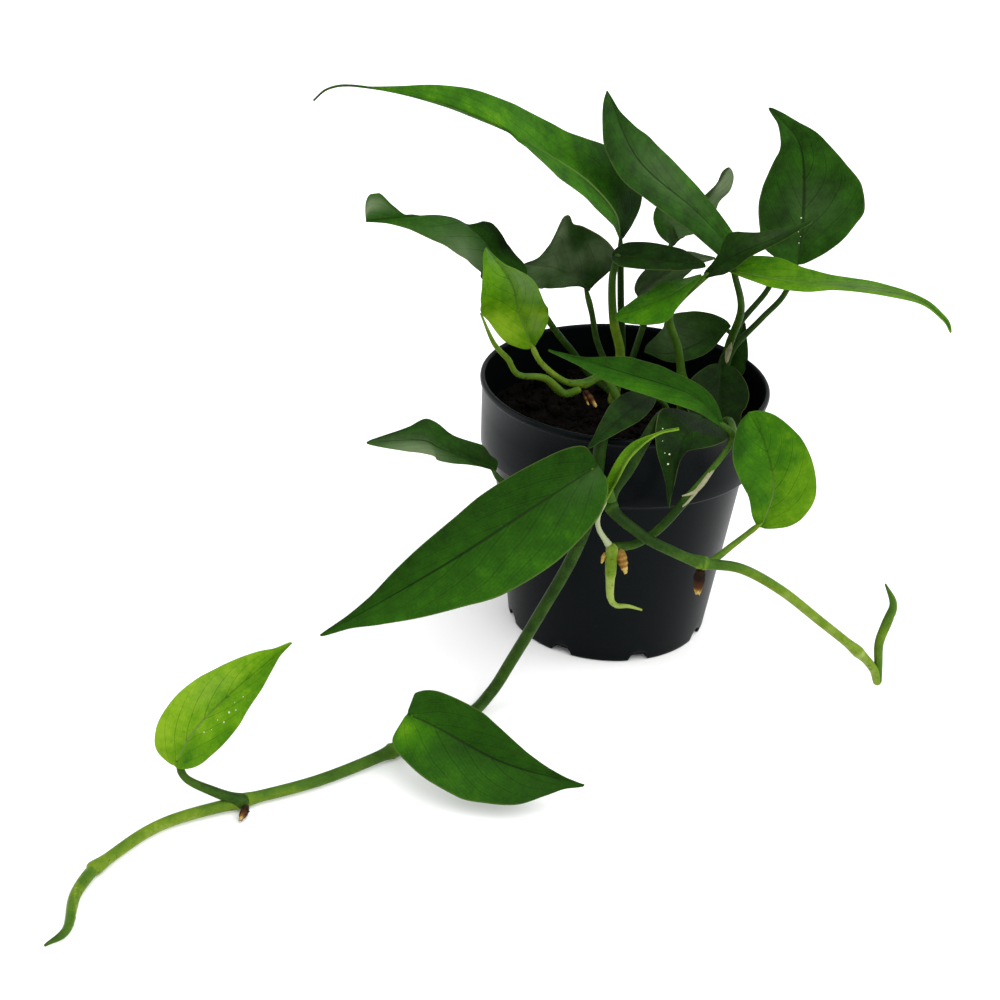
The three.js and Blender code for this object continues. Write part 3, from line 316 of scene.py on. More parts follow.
# Leafy stems
# path: the middle line from its foot in the soil. blade: the blade in which the stem itself ends.
# radius in mm and tone (0 dark to 1 bright): a value at the foot and one at the end, or
# (share, value) points. joints: the numbers of the points where a leaf joint swells.
# petioles: each runs to its blade's base, with one tone and sometimes a paleness.
STEMS = {
    "stem_a_trailing": dict(
        path=[(-8, -36, 80), (-8, -36, 86), (-8, -36, 93), (-9, -46, 106), (-10, -57, 116),
              (-12, -66, 113), (-14, -74, 90), (-20, -75, 68), (-31, -75, 42), (-41, -74, 19),
              (-49, -78, 5), (-59, -94, 3.4), (-85, -118, 3.4), (-111, -139, 3.4),
              (-138, -154, 3.4), (-165, -170, 3.2), (-183, -195, 3)],
        radius=(2.6, 2.1), joints=(6, 12, 14, 16),
        tone=[(0, 0.2), (0.4, 0.35), (0.6, 0.5), (0.75, 0.62), (0.88, 0.86), (1, 0.84)],
        petioles=[
            dict(path=[(-14, -74, 89), (-34, -68, 88), (-48, -56, 89)],
                 blade="blade_18_left_rim", radius=(1.6, 1.1), tone=0.3),
            dict(path=[(-72, -108, 4), (-80, -117, 14)],
                 blade="blade_20_on_floor", radius=(1.8, 1.2), tone=0.5),
            dict(path=[(-138, -155, 4), (-147, -157, 9), (-157, -159, 16)],
                 blade="blade_21_young_front", radius=(2.2, 1.2), tone=0.4),
        ]),
    "stem_b_front": dict(
        path=[(18, -22, 80), (18, -22, 86), (18, -22, 93), (16, -35, 108), (12, -47, 117),
              (7, -59, 115.5), (0, -68, 105), (-7, -74, 92), (5, -79, 82), (18, -79, 75),
              (30, -76, 69), (46, -74, 66), (63, -72, 56), (80, -70, 42), (98, -66, 26),
              (106, -64, 17), (109, -63, 10)],
        radius=(2.4, 1.8), joints=(7, 10, 14),
        tone=[(0, 0.2), (0.48, 0.32), (0.6, 0.6), (0.74, 0.84), (1, 0.84)],
        petioles=[
            dict(path=[(18, -24, 97), (16, -24, 110)],
                 blade="blade_14_front_inside", radius=(1.4, 1.1), tone=0.3),
            dict(path=[(-7, -74, 93), (-9, -76, 101)],
                 blade="blade_17_large_front", radius=(1.8, 1.4), tone=0.5),
            dict(path=[(29, -77, 69), (34.5, -74, 69), (42.7, -67, 72.5)],
                 blade="blade_19_round_right", radius=(1.6, 1.0), tone=0.7),
        ]),
    "stem_c_right": dict(
        path=[(34, -20, 80), (34, -20, 86), (34, -20, 93), (37, -31, 107), (39, -45, 115.5),
              (39, -58, 115), (35, -66, 111), (26, -71, 100), (14, -73, 83), (5, -72, 74),
              (-5, -75, 73)],
        radius=[(0, 1.7), (0.4, 1.5), (0.55, 1.1), (0.68, 1.2), (0.72, 1.8), (1, 1.6)],
        joints=(5, 10), tone=[(0, 0.3), (0.5, 0.6), (0.68, 0.55), (0.74, 0.25), (1, 0.5)],
        petioles=[
            dict(path=[(39, -58, 115), (38, -60, 118)],
                 blade="blade_10_over_front", radius=(1.3, 1.1), tone=0.5),
            dict(path=[(36, -28, 104), (30, -36, 110)],
                 blade="blade_15_hanging_front", radius=(1.3, 1.1), tone=0.3),
            dict(path=[(-6.3, -75.5, 74.5), (-10.8, -77.5, 82.5), (-11.3, -76.8, 88)],
                 blade="blade_16_rolled_front", radius=(1.1, 0.9), tone=0.9, pale=0.9),
        ]),
    "stem_d_left": dict(
        path=[(0, -4, 80), (0, -4, 86), (0, -4, 93), (-3, -2, 104), (-9, 1, 111), (-17, -4, 110)],
        radius=(2.1, 1.6), joints=(5,), tone=(0.4, 0.65),
        petioles=[
            dict(path=[(-17, -4, 110), (-25.5, -5, 111.4), (-35.2, -6, 119.4)],
                 blade="blade_07_young_left", radius=(1.5, 1.0), tone=0.75),
        ]),
    "stem_e_crown": dict(
        path=[(-3, 18, 80), (-3, 18, 86), (-3, 18, 93), (-2, 15, 106), (-2, 14, 118),
              (-6, 12, 133), (-8, 8, 152)],
        radius=(2.5, 1.4), joints=(3,), tone=[(0, 0.8), (0.6, 0.72), (0.8, 0.4), (1, 0.3)],
        blade="blade_22_centre_flat",
        petioles=[
            dict(path=[(-2, 15, 106), (-1, 20, 118), (-3, 20, 138)],
                 blade="blade_01_tall_left", radius=(1.6, 1.3), tone=0.1),
            dict(path=[(-3, 18, 97), (3, 29, 103), (9, 39, 120), (15, 44, 137)],
                 blade="blade_04_small_back", radius=(1.5, 1.2), tone=0.3),
            dict(path=[(-3, 18, 97), (-13, 26, 101), (-21, 26, 111), (-32, 22, 126)],
                 blade="blade_05_left", radius=(1.6, 1.2), tone=0.3),
            dict(path=[(-3, 18, 99), (-6, 29, 104), (-11, 34, 114), (-14, 36, 126)],
                 blade="blade_06_left_middle", radius=(1.5, 1.2), tone=0.3),
            dict(path=[(9, 39, 120), (5, 40, 126)],
                 blade="blade_23_back_grey", radius=(1.1, 0.9), tone=0.3),
        ]),
    "stem_f_crown": dict(
        path=[(26, 12, 80), (26, 12, 86), (26, 12, 93), (25, 13, 106), (22, 13, 121),
              (17, 10, 135), (20, 8, 144)],
        radius=(2.2, 1.2), joints=(3,), tone=(0.45, 0.6), blade="blade_08_right_middle",
        petioles=[]),
    "stem_g_crown": dict(
        path=[(44, 12, 80), (44, 12, 86), (44, 12, 93), (43, 19, 108), (44, 19, 121),
              (46, 10, 141)],
        radius=(2.3, 1.3), joints=(3,), tone=(0.4, 0.35), blade="blade_11_long_right",
        petioles=[
            dict(path=[(43, 18, 108), (44.8, 22.5, 122), (49, 23.5, 131), (57.8, 26, 143),
                       (58.5, 24.5, 150)],
                 blade="blade_02_upper_middle", radius=(1.4, 1.15), tone=0.2),
            dict(path=[(43, 18, 110), (46.8, 21.5, 119.5), (57.3, 25, 131.6), (66, 28, 141.8)],
                 blade="blade_03_upper_right", radius=(1.4, 1.15), tone=0.25),
            dict(path=[(43, 18, 106), (42, 17, 110)],
                 blade="blade_12_right_inside", radius=(1.3, 1.1), tone=0.3),
            dict(path=[(43, 19, 106), (43, 30, 109), (48, 37, 117)],
                 blade="blade_13_right_back", radius=(1.3, 1.1), tone=0.3),
            dict(path=[(44, 15, 99), (44, 20, 101)],
                 blade="blade_24_right_edge", radius=(1.2, 1.0), tone=0.3),
        ]),
}

# New leaves, still rolled into a pointed tube, with path, radius and tone as for stems
SHOOTS = {
    "shoot_a": dict(path=[(-183, -194.5, 3), (-186, -209, 3), (-185, -226, 3), (-190, -234, 3)],
                    radius=[(0, 2.1), (0.5, 1.9), (0.85, 1.3), (1, 0.5)],
                    tone=[(0, 0.72), (0.5, 0.8), (1, 0.5)]),
    "shoot_b": dict(path=[(109.3, -63, 10.5), (108.5, -62.5, 18), (107.5, -62, 28), (110, -60, 38),
                          (111, -59, 45), (107, -58, 53)],
                    radius=[(0, 1.5), (0.25, 1.7), (0.6, 2.1), (0.85, 1.3), (1, 0.4)],
                    tone=[(0, 0.6), (0.5, 0.72), (1, 0.5)]),
    "shoot_c": dict(path=[(-5, -76, 73), (-5, -78, 64), (-4.4, -79.5, 54), (-2, -80.5, 50.6),
                          (3, -81.5, 51), (8, -82, 50)],
                    radius=[(0, 2.4), (0.3, 2.1), (0.34, 1.8), (0.56, 1.5), (0.66, 1.1),
                            (0.8, 0.8), (1, 0.4)],
                    tone=[(0, 0.85), (0.3, 0.85), (0.34, 1.0), (1, 1.0)]),
    "shoot_d": dict(path=[(-19.5, -6.8, 108.4), (-25.3, -8, 107.2), (-33.4, -11, 114.9),
                          (-44.1, -13, 116.7), (-48.8, -15, 124), (-54.8, -18, 132),
                          (-60.5, -20, 145.2)],
                    radius=[(0, 1.5), (0.15, 1.8), (0.32, 1.4), (0.48, 1.2), (0.75, 1.0),
                            (1, 0.4)],
                    tone=[(0, 0.7), (1, 0.7)]),
}

# Brown tips of aerial roots at the leaf joints: one or two paths, the radius and the tone at
# foot and end, and the number of dark bands
ROOT_NUBS = {
    "root_nub_a": dict(paths=[[(-136, -157.8, 3), (-137, -163, 2.2)]],
                       radius=(1.7, 0.9), bands=1, tone=(0.1, 0.3)),
    "root_nub_b": dict(paths=[[(30, -76.5, 65.2), (29.6, -77, 56.5)]],
                       radius=(2.2, 1.5), bands=1, tone=(0.1, 0.5)),
    "root_nub_c": dict(paths=[[(-1.5, -76.2, 71.4), (0.6, -78.5, 65)],
                              [(-7.6, -76.4, 70.5), (-8.6, -77.5, 68)]],
                       radius=(2.2, 1.1), bands=3, tone=(0.75, 0.85)),
    "root_nub_d": dict(paths=[[(-16.2, -6.1, 107), (-12, -9, 103)],
                              [(-17, -6.5, 107), (-15, -9.5, 103.5)]],
                       radius=(1.5, 0.9), bands=2, tone=(0.1, 0.7)),
}

# Dry sheaths that cling to two of the stems: one narrow blade on each rib, with the keys of
# the leaf blades
SHEATHS = {
    "sheath_c": dict(
        ribs=[[(33, -68.6, 109), (28, -72.4, 102.4), (23, -74.6, 95.5), (20.5, -76, 93)],
              [(32, -69.6, 107), (26, -73.2, 99.4), (20, -75.6, 97.4)]],
        up=(0, -0.9, 0.4), left=[(0.1, 0.7), (0.5, 0.9), (0.8, 0.8)],
        right=[(0.1, 0.7), (0.5, 0.9), (0.75, 0.6)],
        fold=(-30, -30), lobe=(0, 0), wave=(0.25, 3.0), tone=(0.7, 0.0, 0.0)),
    "sheath_g": dict(
        ribs=[[(43.4, 15.8, 114), (43.6, 15.8, 118.5), (44.2, 14.2, 124)]],
        up=(0, -0.9, 0.2), left=[(0.1, 0.9), (0.5, 1.4), (0.8, 0.9)],
        right=[(0.1, 0.9), (0.5, 1.4), (0.8, 0.9)],
        fold=(-30, -30), lobe=(0, 0), wave=(0.2, 3.0), tone=(0.6, 0.0, 0.0)),
}


# Curves and grids

def unit(vectors):
    """Vectors divided by their own lengths."""
    return vectors / np.linalg.norm(vectors, axis=-1, keepdims=True)


def smooth_step(low, high, values):
    """0 below low, 1 above high and 3x^2 - 2x^3 between them."""
    share = np.clip((values - low) / (high - low), 0, 1)
    return share * share * (3 - 2 * share)


def bump_at(values, middle, spread):
    """Bell curve: 1 where values equal middle, exp(-(distance / spread)^2) elsewhere."""
    return np.exp(-((values - middle) / spread) ** 2)


def spline(points):
    """Cubic spline through points: at each point its slope is half the step between the
    neighbours, and the ends are mirrored. Returns a function of the share of its length that
    gives places and unit directions, and the length."""
    points = np.array(points, float)
    spans = len(points) - 1
    ends = [2 * points[0] - points[1]], points, [2 * points[-1] - points[-2]]
    knots = np.concatenate(ends)

    def place(number):
        span = np.minimum(number.astype(int), spans - 1)
        f = (number - span)[..., None]
        before, start, end, after = (knots[span + k] for k in range(4))
        leave = (end - before) / 2
        arrive = (after - start) / 2
        point = ((2 * f**3 - 3 * f**2 + 1) * start + (f**3 - 2 * f**2 + f) * leave
                 + (3 * f**2 - 2 * f**3) * end + (f**3 - f**2) * arrive)
        slope = ((6 * f**2 - 6 * f) * (start - end) + (3 * f**2 - 4 * f + 1) * leave
                 + (3 * f**2 - 2 * f) * arrive)
        return point, slope

    numbers = np.linspace(0, spans, CURVE_SAMPLES)
    samples = place(numbers)[0]
    steps = np.linalg.norm(np.diff(samples, axis=0), axis=1)
    lengths = np.concatenate([[0], np.cumsum(steps)])

    def at(shares):
        point, slope = place(np.interp(np.asarray(shares) * lengths[-1], lengths, numbers))
        return point, unit(slope)

    return at, lengths[-1]


def ring_grid_faces(rows, columns, capped=True):
    """Quads between neighbouring rows of a grid whose columns close into a ring. Each end is
    capped by quads that pair a column with the one across the ring."""
    i, j = np.meshgrid(np.arange(rows - 1), np.arange(columns), indexing="ij")
    a = i * columns + j
    b = i * columns + (j + 1) % columns
    faces = np.stack([a, b, b + columns, a + columns], -1).reshape(-1, 4)
    if not capped:
        return faces
    k = np.arange(columns // 2 - 1)
    start = np.stack([k, columns - 1 - k, columns - 2 - k, k + 1], -1)
    last = (rows - 1) * columns
    end = last + start[:, ::-1]
    return np.concatenate([faces, start, end])


def outward(points, faces):
    """Faces turned the other way where the body they close has a negative volume. The volume is
    a sixth of the sum of first . (second x third) over the corners of its triangles."""
    a, b, c, d = (points[faces[:, k]] for k in range(4))
    volume = np.sum(a * np.cross(b, c)) + np.sum(a * np.cross(c, d))
    return faces if volume > 0 else faces[:, ::-1]


def ring_uv(angle, shares):
    """Surface coordinates of a ring grid: the share of a full turn, and each row's own share."""
    return np.stack(np.broadcast_arrays(angle / (2 * np.pi), shares[:, None]), -1).reshape(-1, 2)


def ball_grid(rows, sides):
    """Points of a unit ball: (cos rise * cos turn, cos rise * sin turn, sin rise), with the rise
    from -80 to 80 degrees."""
    rise = np.radians(np.linspace(-80, 80, rows))[:, None]
    turn = 2 * np.pi * np.arange(sides) / sides
    ball = np.cos(rise) * np.cos(turn), np.cos(rise) * np.sin(turn), np.sin(rise)
    return np.stack(np.broadcast_arrays(*ball), -1).reshape(-1, 3)


NOISE_WAVES = 6


def noise_3d(points, size, seed):
    """Smooth uneven values, mostly from -1 to 1: twice the mean of NOISE_WAVES sine waves in
    seeded directions, with wavelengths from size down to a third of it."""
    random = np.random.default_rng(seed)
    ways = unit(random.normal(size=(NOISE_WAVES, 3)))
    starts = random.uniform(0, 2 * np.pi, NOISE_WAVES)
    rates = 2 * np.pi / size * np.linspace(1, 3, NOISE_WAVES)
    waves = np.sin(points @ (ways * rates[:, None]).T + starts)
    return waves.mean(-1) * 2


class Body:
    """Points, faces, finishes, surface coordinates, tone and paleness of one piece, gathered part
    by part."""

    def __init__(self):
        self.points = []
        self.faces = []
        self.materials = []
        self.uv = []
        self.tone = []
        self.pale = []
        self.count = 0

    def add(self, points, faces, uv, tone, material=0, pale=0.0):
        """Adds a closed part. material is one number, or one for each face."""
        self.points.append(points)
        self.faces.append(outward(points, faces) + self.count)
        self.materials.append(np.broadcast_to(material, len(faces)))
        self.uv.append(uv)
        self.tone.append(np.broadcast_to(tone, len(points)))
        self.pale.append(np.broadcast_to(pale, len(points)))
        self.count += len(points)


def add_object(name, data):
    """New object in the scene that holds the data."""
    made = bpy.data.objects.new(name, data)
    bpy.context.scene.collection.objects.link(made)
    return made


def add_piece(name, body, materials, nodes):
    """Makes the mesh object, in metres, and says what it rides on and replaces."""
    points = np.concatenate(body.points) * METRES
    faces = np.concatenate(body.faces)
    mesh = bpy.data.meshes.new(name)
    mesh.from_pydata(points.tolist(), [], faces.tolist())
    for material in materials:
        mesh.materials.append(material)
    corners = faces.ravel()
    mesh.polygons.foreach_set("material_index", np.concatenate(body.materials).astype(np.int32))
    mesh.polygons.foreach_set("use_smooth", np.ones(len(faces), bool))
    layer = mesh.uv_layers.new(name="surface")
    layer.uv.foreach_set("vector", np.concatenate(body.uv)[corners].astype(np.float32).ravel())
    for key, values in (("tone", body.tone), ("pale", body.pale)):
        attribute = mesh.attributes.new(key, "FLOAT", "POINT")
        attribute.data.foreach_set("value", np.concatenate(values).astype(np.float32))
    mesh.validate()
    piece = add_object(name, mesh)
    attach(piece, "root")
    if nodes:
        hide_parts(*nodes)


# Materials

class Recipe:
    """One material and short ways to add and wire its nodes."""

    def __init__(self, name):
        self.material = bpy.data.materials.new(name)
        self.material.use_nodes = True
        self.tree = self.material.node_tree
        self.shader = self.tree.nodes["Principled BSDF"]

    def node(self, kind, inputs, **settings):
        """A node with its settings; each input is a number, a colour or another node's output."""
        made = self.tree.nodes.new("ShaderNode" + kind)
        for key, value in settings.items():
            setattr(made, key, value)
        for key, value in inputs.items():
            if isinstance(value, bpy.types.NodeSocket):
                self.tree.links.new(value, made.inputs[key])
            else:
                made.inputs[key].default_value = value
        return made

    def math(self, operation, first, second=0.0, third=0.0):
        """Output of a Math node."""
        return self.node("Math", {0: first, 1: second, 2: third}, operation=operation).outputs[0]

    def vary(self, base, uneven, amount):
        """base + amount * (uneven - 0.5), so that base stays the mean."""
        return self.math("MULTIPLY_ADD", self.math("SUBTRACT", uneven, 0.5), amount, base)

    def mix(self, share, first, second):
        """Colour between first and second."""
        return self.node("Mix", {0: share, 6: first, 7: second}, data_type="RGBA").outputs[2]

    def cover(self, colour, paint, where, share):
        """colour with paint over it, by share where the mask is 1."""
        return self.mix(self.math("MULTIPLY", where, share), colour, paint)

    def step(self, value, low, high):
        """0 where value equals low, 1 where it equals high, smoothly between and even beyond.
        low may be the larger of the two."""
        made = self.node("MapRange", {"Value": value, "From Min": low, "From Max": high},
                         interpolation_type="SMOOTHSTEP")
        return made.outputs["Result"]

    def noise(self, scale, detail=3.0, roughness=0.55):
        """Uneven values on Object coordinates; scale is features a metre."""
        place = self.node("TexCoord", {}).outputs["Object"]
        made = self.node("TexNoise", {"Vector": place, "Scale": scale, "Detail": detail,
                                      "Roughness": roughness})
        return made.outputs["Fac"]

    def ramp(self, value, stops):
        """Colour that runs through stops, a list of (place, colour)."""
        made = self.node("ValToRGB", {"Fac": value})
        elements = made.color_ramp.elements
        elements[0].position, elements[0].color = stops[0][0], stops[0][1] + (1,)
        elements[1].position, elements[1].color = stops[-1][0], stops[-1][1] + (1,)
        for place, colour in stops[1:-1]:
            elements.new(place).color = colour + (1,)
        return made.outputs["Color"]

    def blade_place(self):
        """How far a point of a blade lies from the midrib (0) to an edge (1), and from the base
        (0) to the tip (1)."""
        place = self.node("SeparateXYZ", {0: self.node("UVMap", {}, uv_map="surface").outputs[0]})
        from_rib = self.math("ABSOLUTE", self.math("SUBTRACT", place.outputs[0], 0.5))
        return self.math("MULTIPLY", from_rib, 2.0), place.outputs[1]

    def carried(self, name):
        """A value that a piece carries at each point: its tone or its paleness."""
        return self.node("Attribute", {}, attribute_name=name).outputs["Fac"]

    def finish(self, colour, roughness, height=None, depth=0.0, **sockets):
        """Wires colour, roughness and relief into the shader; sockets are plain numbers."""
        for key, value in (("Base Color", colour), ("Roughness", roughness)):
            if isinstance(value, bpy.types.NodeSocket):
                self.tree.links.new(value, self.shader.inputs[key])
            else:
                self.shader.inputs[key].default_value = value
        if height is not None:
            bump = self.node("Bump", {"Strength": 1.0, "Distance": depth, "Height": height})
            self.tree.links.new(bump.outputs[0], self.shader.inputs["Normal"])
        for key, value in sockets.items():
            self.shader.inputs[key.replace("_", " ")].default_value = value
        return self.material


# From black green through leaf green to yellow green, run by the tone
LEAF_STOPS = [(0.0, (0.0028, 0.0105, 0.0009)), (0.2, (0.0065, 0.0280, 0.0012)),
              (0.4, (0.0130, 0.0580, 0.0022)), (0.6, (0.0300, 0.1150, 0.0020)),
              (0.8, (0.0800, 0.2000, 0.0030)), (1.0, (0.1700, 0.3000, 0.0120))]
STEM_STOPS = [(0.0, (0.004, 0.010, 0.0015)), (0.3, (0.013, 0.037, 0.004)),
              (0.6, (0.045, 0.105, 0.009)), (0.8, (0.105, 0.175, 0.010)),
              (1.0, (0.220, 0.290, 0.060))]
# PALE_LEAF is the pale grey-green of leaf backs and their veins, and also the colour of the painted
# sheen on the upper faces
PALE_LEAF = (0.115, 0.160, 0.080, 1)
PALE_RIB = (0.13, 0.21, 0.05, 1)
PALE_STEM = (0.33, 0.37, 0.22, 1)
DARK_VEIN = (0.0028, 0.0095, 0.0012, 1)
LEAF_MARGIN = (0.13, 0.16, 0.045, 1)
BROWN_TINGE = (0.030, 0.020, 0.003, 1)
STEM_SPECK = (0.02, 0.015, 0.005, 1)
# Drop colours: partly the drops' own pale yellow and partly painted glint
DROP_YELLOW = (0.30, 0.33, 0.14, 1)
DROP_CREAM = (0.55, 0.56, 0.42, 1)

# Leaf finishes: how far blotches change the tone, how strongly the dark midrib, the side veins,
# the painted silvery sheen (pale grey-green patches that stand in for the leaf's soft reflection)
# and the midrib's pale foot show, the mean roughness of the upper face, and
# what the back adds to the tone and the paleness
LEAF_FINISHES = {
    "young": dict(mottle=0.6, rib=0.35, veins=0.3, painted_sheen=0.0, pale_rib=0.7, roughness=0.455,
                  back_tone=0.0, back_pale=0.30),
    "green": dict(mottle=0.4, rib=0.8, veins=0.28, painted_sheen=0.0, pale_rib=0.05, roughness=0.485,
                  back_tone=0.05, back_pale=0.35),
    "old": dict(mottle=0.7, rib=0.75, veins=0.35, painted_sheen=0.015, pale_rib=0.05, roughness=0.485,
                back_tone=0.05, back_pale=0.30),
    "grey": dict(mottle=0.4, rib=0.3, veins=0.3, painted_sheen=0.3, pale_rib=0.1, roughness=0.555,
                 back_tone=0.1, back_pale=0.40),
}
LEAF_GLOSS = 0.035
LEAF_RELIEF = 0.0001
LEAF_GRAIN = 0.2

# Side veins, in the finish and in the mesh alike
VEIN_COUNT = 6.0
VEIN_SWEEP = 0.5
VEIN_BEND = 1.1
FINE_VEINS_PER_VEIN = 5


def vein_order(recipe, reach, along):
    """Runs on evenly from vein to vein: along - VEIN_SWEEP * reach ^ VEIN_BEND, so the veins leave
    the midrib at even steps and sweep towards the tip, and wander a little."""
    sweep = recipe.math("MULTIPLY", recipe.math("POWER", reach, VEIN_BEND), VEIN_SWEEP)
    return recipe.vary(recipe.math("SUBTRACT", along, sweep), recipe.noise(60.0, detail=2.0), 0.05)


def vein_lines(recipe, order, count, half_width):
    """0 between lines and 1 on them, with count lines along the blade."""
    from_line = recipe.math("PINGPONG", recipe.math("MULTIPLY", order, count), 0.5)
    return recipe.step(from_line, half_width, 0.0)


def side_veins(recipe, order, reach):
    """1 on the side veins, which end before the edge."""
    lines = vein_lines(recipe, order, VEIN_COUNT, 0.06)
    return recipe.math("MULTIPLY", lines, recipe.step(reach, 0.98, 0.6))


def leaf_skin(name, look):
    """Upper face of a blade. The green ramp is run by the tone, with blotches, grain and fine
    veins in it. Over it lie a brown tinge, a painted silvery sheen and the blade's pale patches of
    painted sheen, the side veins and the midrib as dark lines, the midrib's pale foot and a thin
    pale margin."""
    recipe = Recipe(name)
    reach, along = recipe.blade_place()
    blotch = recipe.noise(120.0, detail=5.0, roughness=0.65)
    grain = recipe.noise(1000.0, detail=3.0, roughness=0.6)
    order = vein_order(recipe, reach, along)
    veins = side_veins(recipe, order, reach)
    fine = vein_lines(recipe, order, FINE_VEINS_PER_VEIN * VEIN_COUNT, 0.3)
    tone = recipe.vary(recipe.carried("tone"), blotch, look["mottle"])
    tone = recipe.vary(tone, grain, LEAF_GRAIN)
    tone = recipe.math("MULTIPLY_ADD", fine, -0.03, tone)
    colour = recipe.ramp(tone, LEAF_STOPS)
    tinge = recipe.step(recipe.noise(260.0, detail=4.0, roughness=0.6), 0.52, 0.75)
    colour = recipe.cover(colour, BROWN_TINGE, tinge, 0.1)
    # Painted sheen: noise patches mixed towards pale grey-green stand in for the leaf's soft
    # silvery reflection
    sheen_patches = recipe.step(recipe.noise(70.0, detail=4.0, roughness=0.5), 0.3, 0.7)
    # The blade's paleness comes from its pale patches, which are painted sheen
    pale = recipe.math("MULTIPLY_ADD", sheen_patches, look["painted_sheen"], recipe.carried("pale"))
    pale = recipe.math("MULTIPLY", pale, recipe.vary(1.0, blotch, 0.6))
    colour = recipe.mix(pale, colour, PALE_LEAF)
    colour = recipe.cover(colour, DARK_VEIN, veins, look["veins"])
    colour = recipe.cover(colour, DARK_VEIN, recipe.step(reach, 0.05, 0.012), look["rib"])
    foot = recipe.math("MULTIPLY", recipe.step(along, 0.6, 0.1), look["pale_rib"])
    colour = recipe.cover(colour, PALE_RIB, recipe.step(reach, 0.04, 0.015), foot)
    colour = recipe.cover(colour, LEAF_MARGIN, recipe.step(reach, 0.965, 0.995), 0.3)
    height = recipe.math("MULTIPLY_ADD", fine, -0.25, grain)
    height = recipe.math("MULTIPLY_ADD", veins, -0.5, height)
    shine = recipe.vary(look["roughness"], blotch, 0.25)
    return recipe.finish(colour, shine, height, LEAF_RELIEF, Specular_IOR_Level=LEAF_GLOSS)


def leaf_back(name, look):
    """Under face of a blade: paler and duller than the upper face, with a pale rib and faint
    pale side veins."""
    recipe = Recipe(name)
    reach, along = recipe.blade_place()
    blotch = recipe.noise(100.0, detail=4.0, roughness=0.6)
    veins = side_veins(recipe, vein_order(recipe, reach, along), reach)
    tone = recipe.math("ADD", recipe.carried("tone"), look["back_tone"])
    colour = recipe.ramp(recipe.vary(tone, blotch, 0.4), LEAF_STOPS)
    # The blade's pale patches of painted sheen show on the back as well, under the back's own
    # paleness
    pale = recipe.math("ADD", recipe.carried("pale"), look["back_pale"])
    colour = recipe.mix(pale, colour, PALE_LEAF)
    colour = recipe.cover(colour, PALE_LEAF, veins, 0.3)
    colour = recipe.cover(colour, PALE_LEAF, recipe.step(reach, 0.07, 0.02), 0.6)
    height = recipe.math("MULTIPLY_ADD", veins, 0.6, recipe.noise(900.0))
    return recipe.finish(colour, 0.6, height, LEAF_RELIEF, Specular_IOR_Level=LEAF_GLOSS)


def leaf_drop():
    """Small pale yellow drops on a leaf. Their pale cream colour is partly the drops' own and
    partly painted glint, the bright catch of light on them.
    """
    recipe = Recipe("pale_spot")
    colour = recipe.mix(recipe.noise(300.0), DROP_YELLOW, DROP_CREAM)
    return recipe.finish(colour, 0.35, Specular_IOR_Level=0.3)


def stem_skin(name, roughness):
    """Green stem: a ramp run by the tone with blotches, fine grain and a few dark specks."""
    recipe = Recipe(name)
    blotch = recipe.noise(140.0, detail=4.0)
    grain = recipe.noise(1100.0, detail=2.0)
    tone = recipe.vary(recipe.vary(recipe.carried("tone"), blotch, 0.45), grain, 0.2)
    colour = recipe.mix(recipe.carried("pale"), recipe.ramp(tone, STEM_STOPS), PALE_STEM)
    speck = recipe.step(recipe.noise(420.0, detail=1.0), 0.68, 0.74)
    colour = recipe.cover(colour, STEM_SPECK, speck, 0.45)
    return recipe.finish(colour, roughness, grain, depth=0.00012, Specular_IOR_Level=0.05)


def green_finishes():
    """Every finish of the leaves and stems by its slot, and the leaves' backs and drops."""
    finishes = {"stem": stem_skin("green_stem", roughness=0.42),
                "shoot": stem_skin("rolled_leaf", roughness=0.38), "drop": leaf_drop()}
    for age, look in LEAF_FINISHES.items():
        finishes["leaf_" + age] = leaf_skin(age + "_leaf", look)
        finishes["back_leaf_" + age] = leaf_back(age + "_leaf_back", look)
    return finishes


# Other finishes, each with its colours
POT_BLACK = (0.0010, 0.0014, 0.0016, 1)
POT_GREY = (0.0022, 0.0028, 0.0032, 1)
POT_DUST = (0.10, 0.10, 0.10, 1)
POT_GLOSS_TINT = (0.75, 0.92, 1.0, 1)
# Soil colours: partly the damp soil's own dark brown and partly painted shade, darker than soil
# itself, for the soil in the pot's shade
SOIL_STOPS = [(0.35, (0.0010, 0.0008, 0.0006)), (0.6, (0.0032, 0.0022, 0.0014)),
              (0.8, (0.0150, 0.0085, 0.0050))]
BARK_STOPS = [(0.0, (0.008, 0.003, 0.001)), (0.4, (0.045, 0.015, 0.003)),
              (0.75, (0.22, 0.11, 0.02)), (1.0, (0.42, 0.30, 0.08))]
SHEATH_STOPS = [(0.0, (0.06, 0.04, 0.015)), (0.4, (0.16, 0.15, 0.08)),
                (1.0, (0.30, 0.31, 0.19))]


def pot_plastic():
    """Moulded black plastic: satin, with faint clouds, dust specks and fine grain."""
    recipe = Recipe("black_pot_plastic")
    cloud = recipe.noise(28.0, detail=4.0)
    dust = recipe.step(recipe.noise(900.0, detail=2.0, roughness=0.7), 0.66, 0.76)
    colour = recipe.cover(recipe.mix(cloud, POT_BLACK, POT_GREY), POT_DUST, dust, 0.05)
    rough = recipe.math("MULTIPLY_ADD", dust, 0.3, recipe.vary(0.36, cloud, 0.16))
    return recipe.finish(colour, rough, recipe.noise(1500.0, detail=2.0), depth=0.00005,
                         Specular_IOR_Level=0.06, Specular_Tint=POT_GLOSS_TINT)


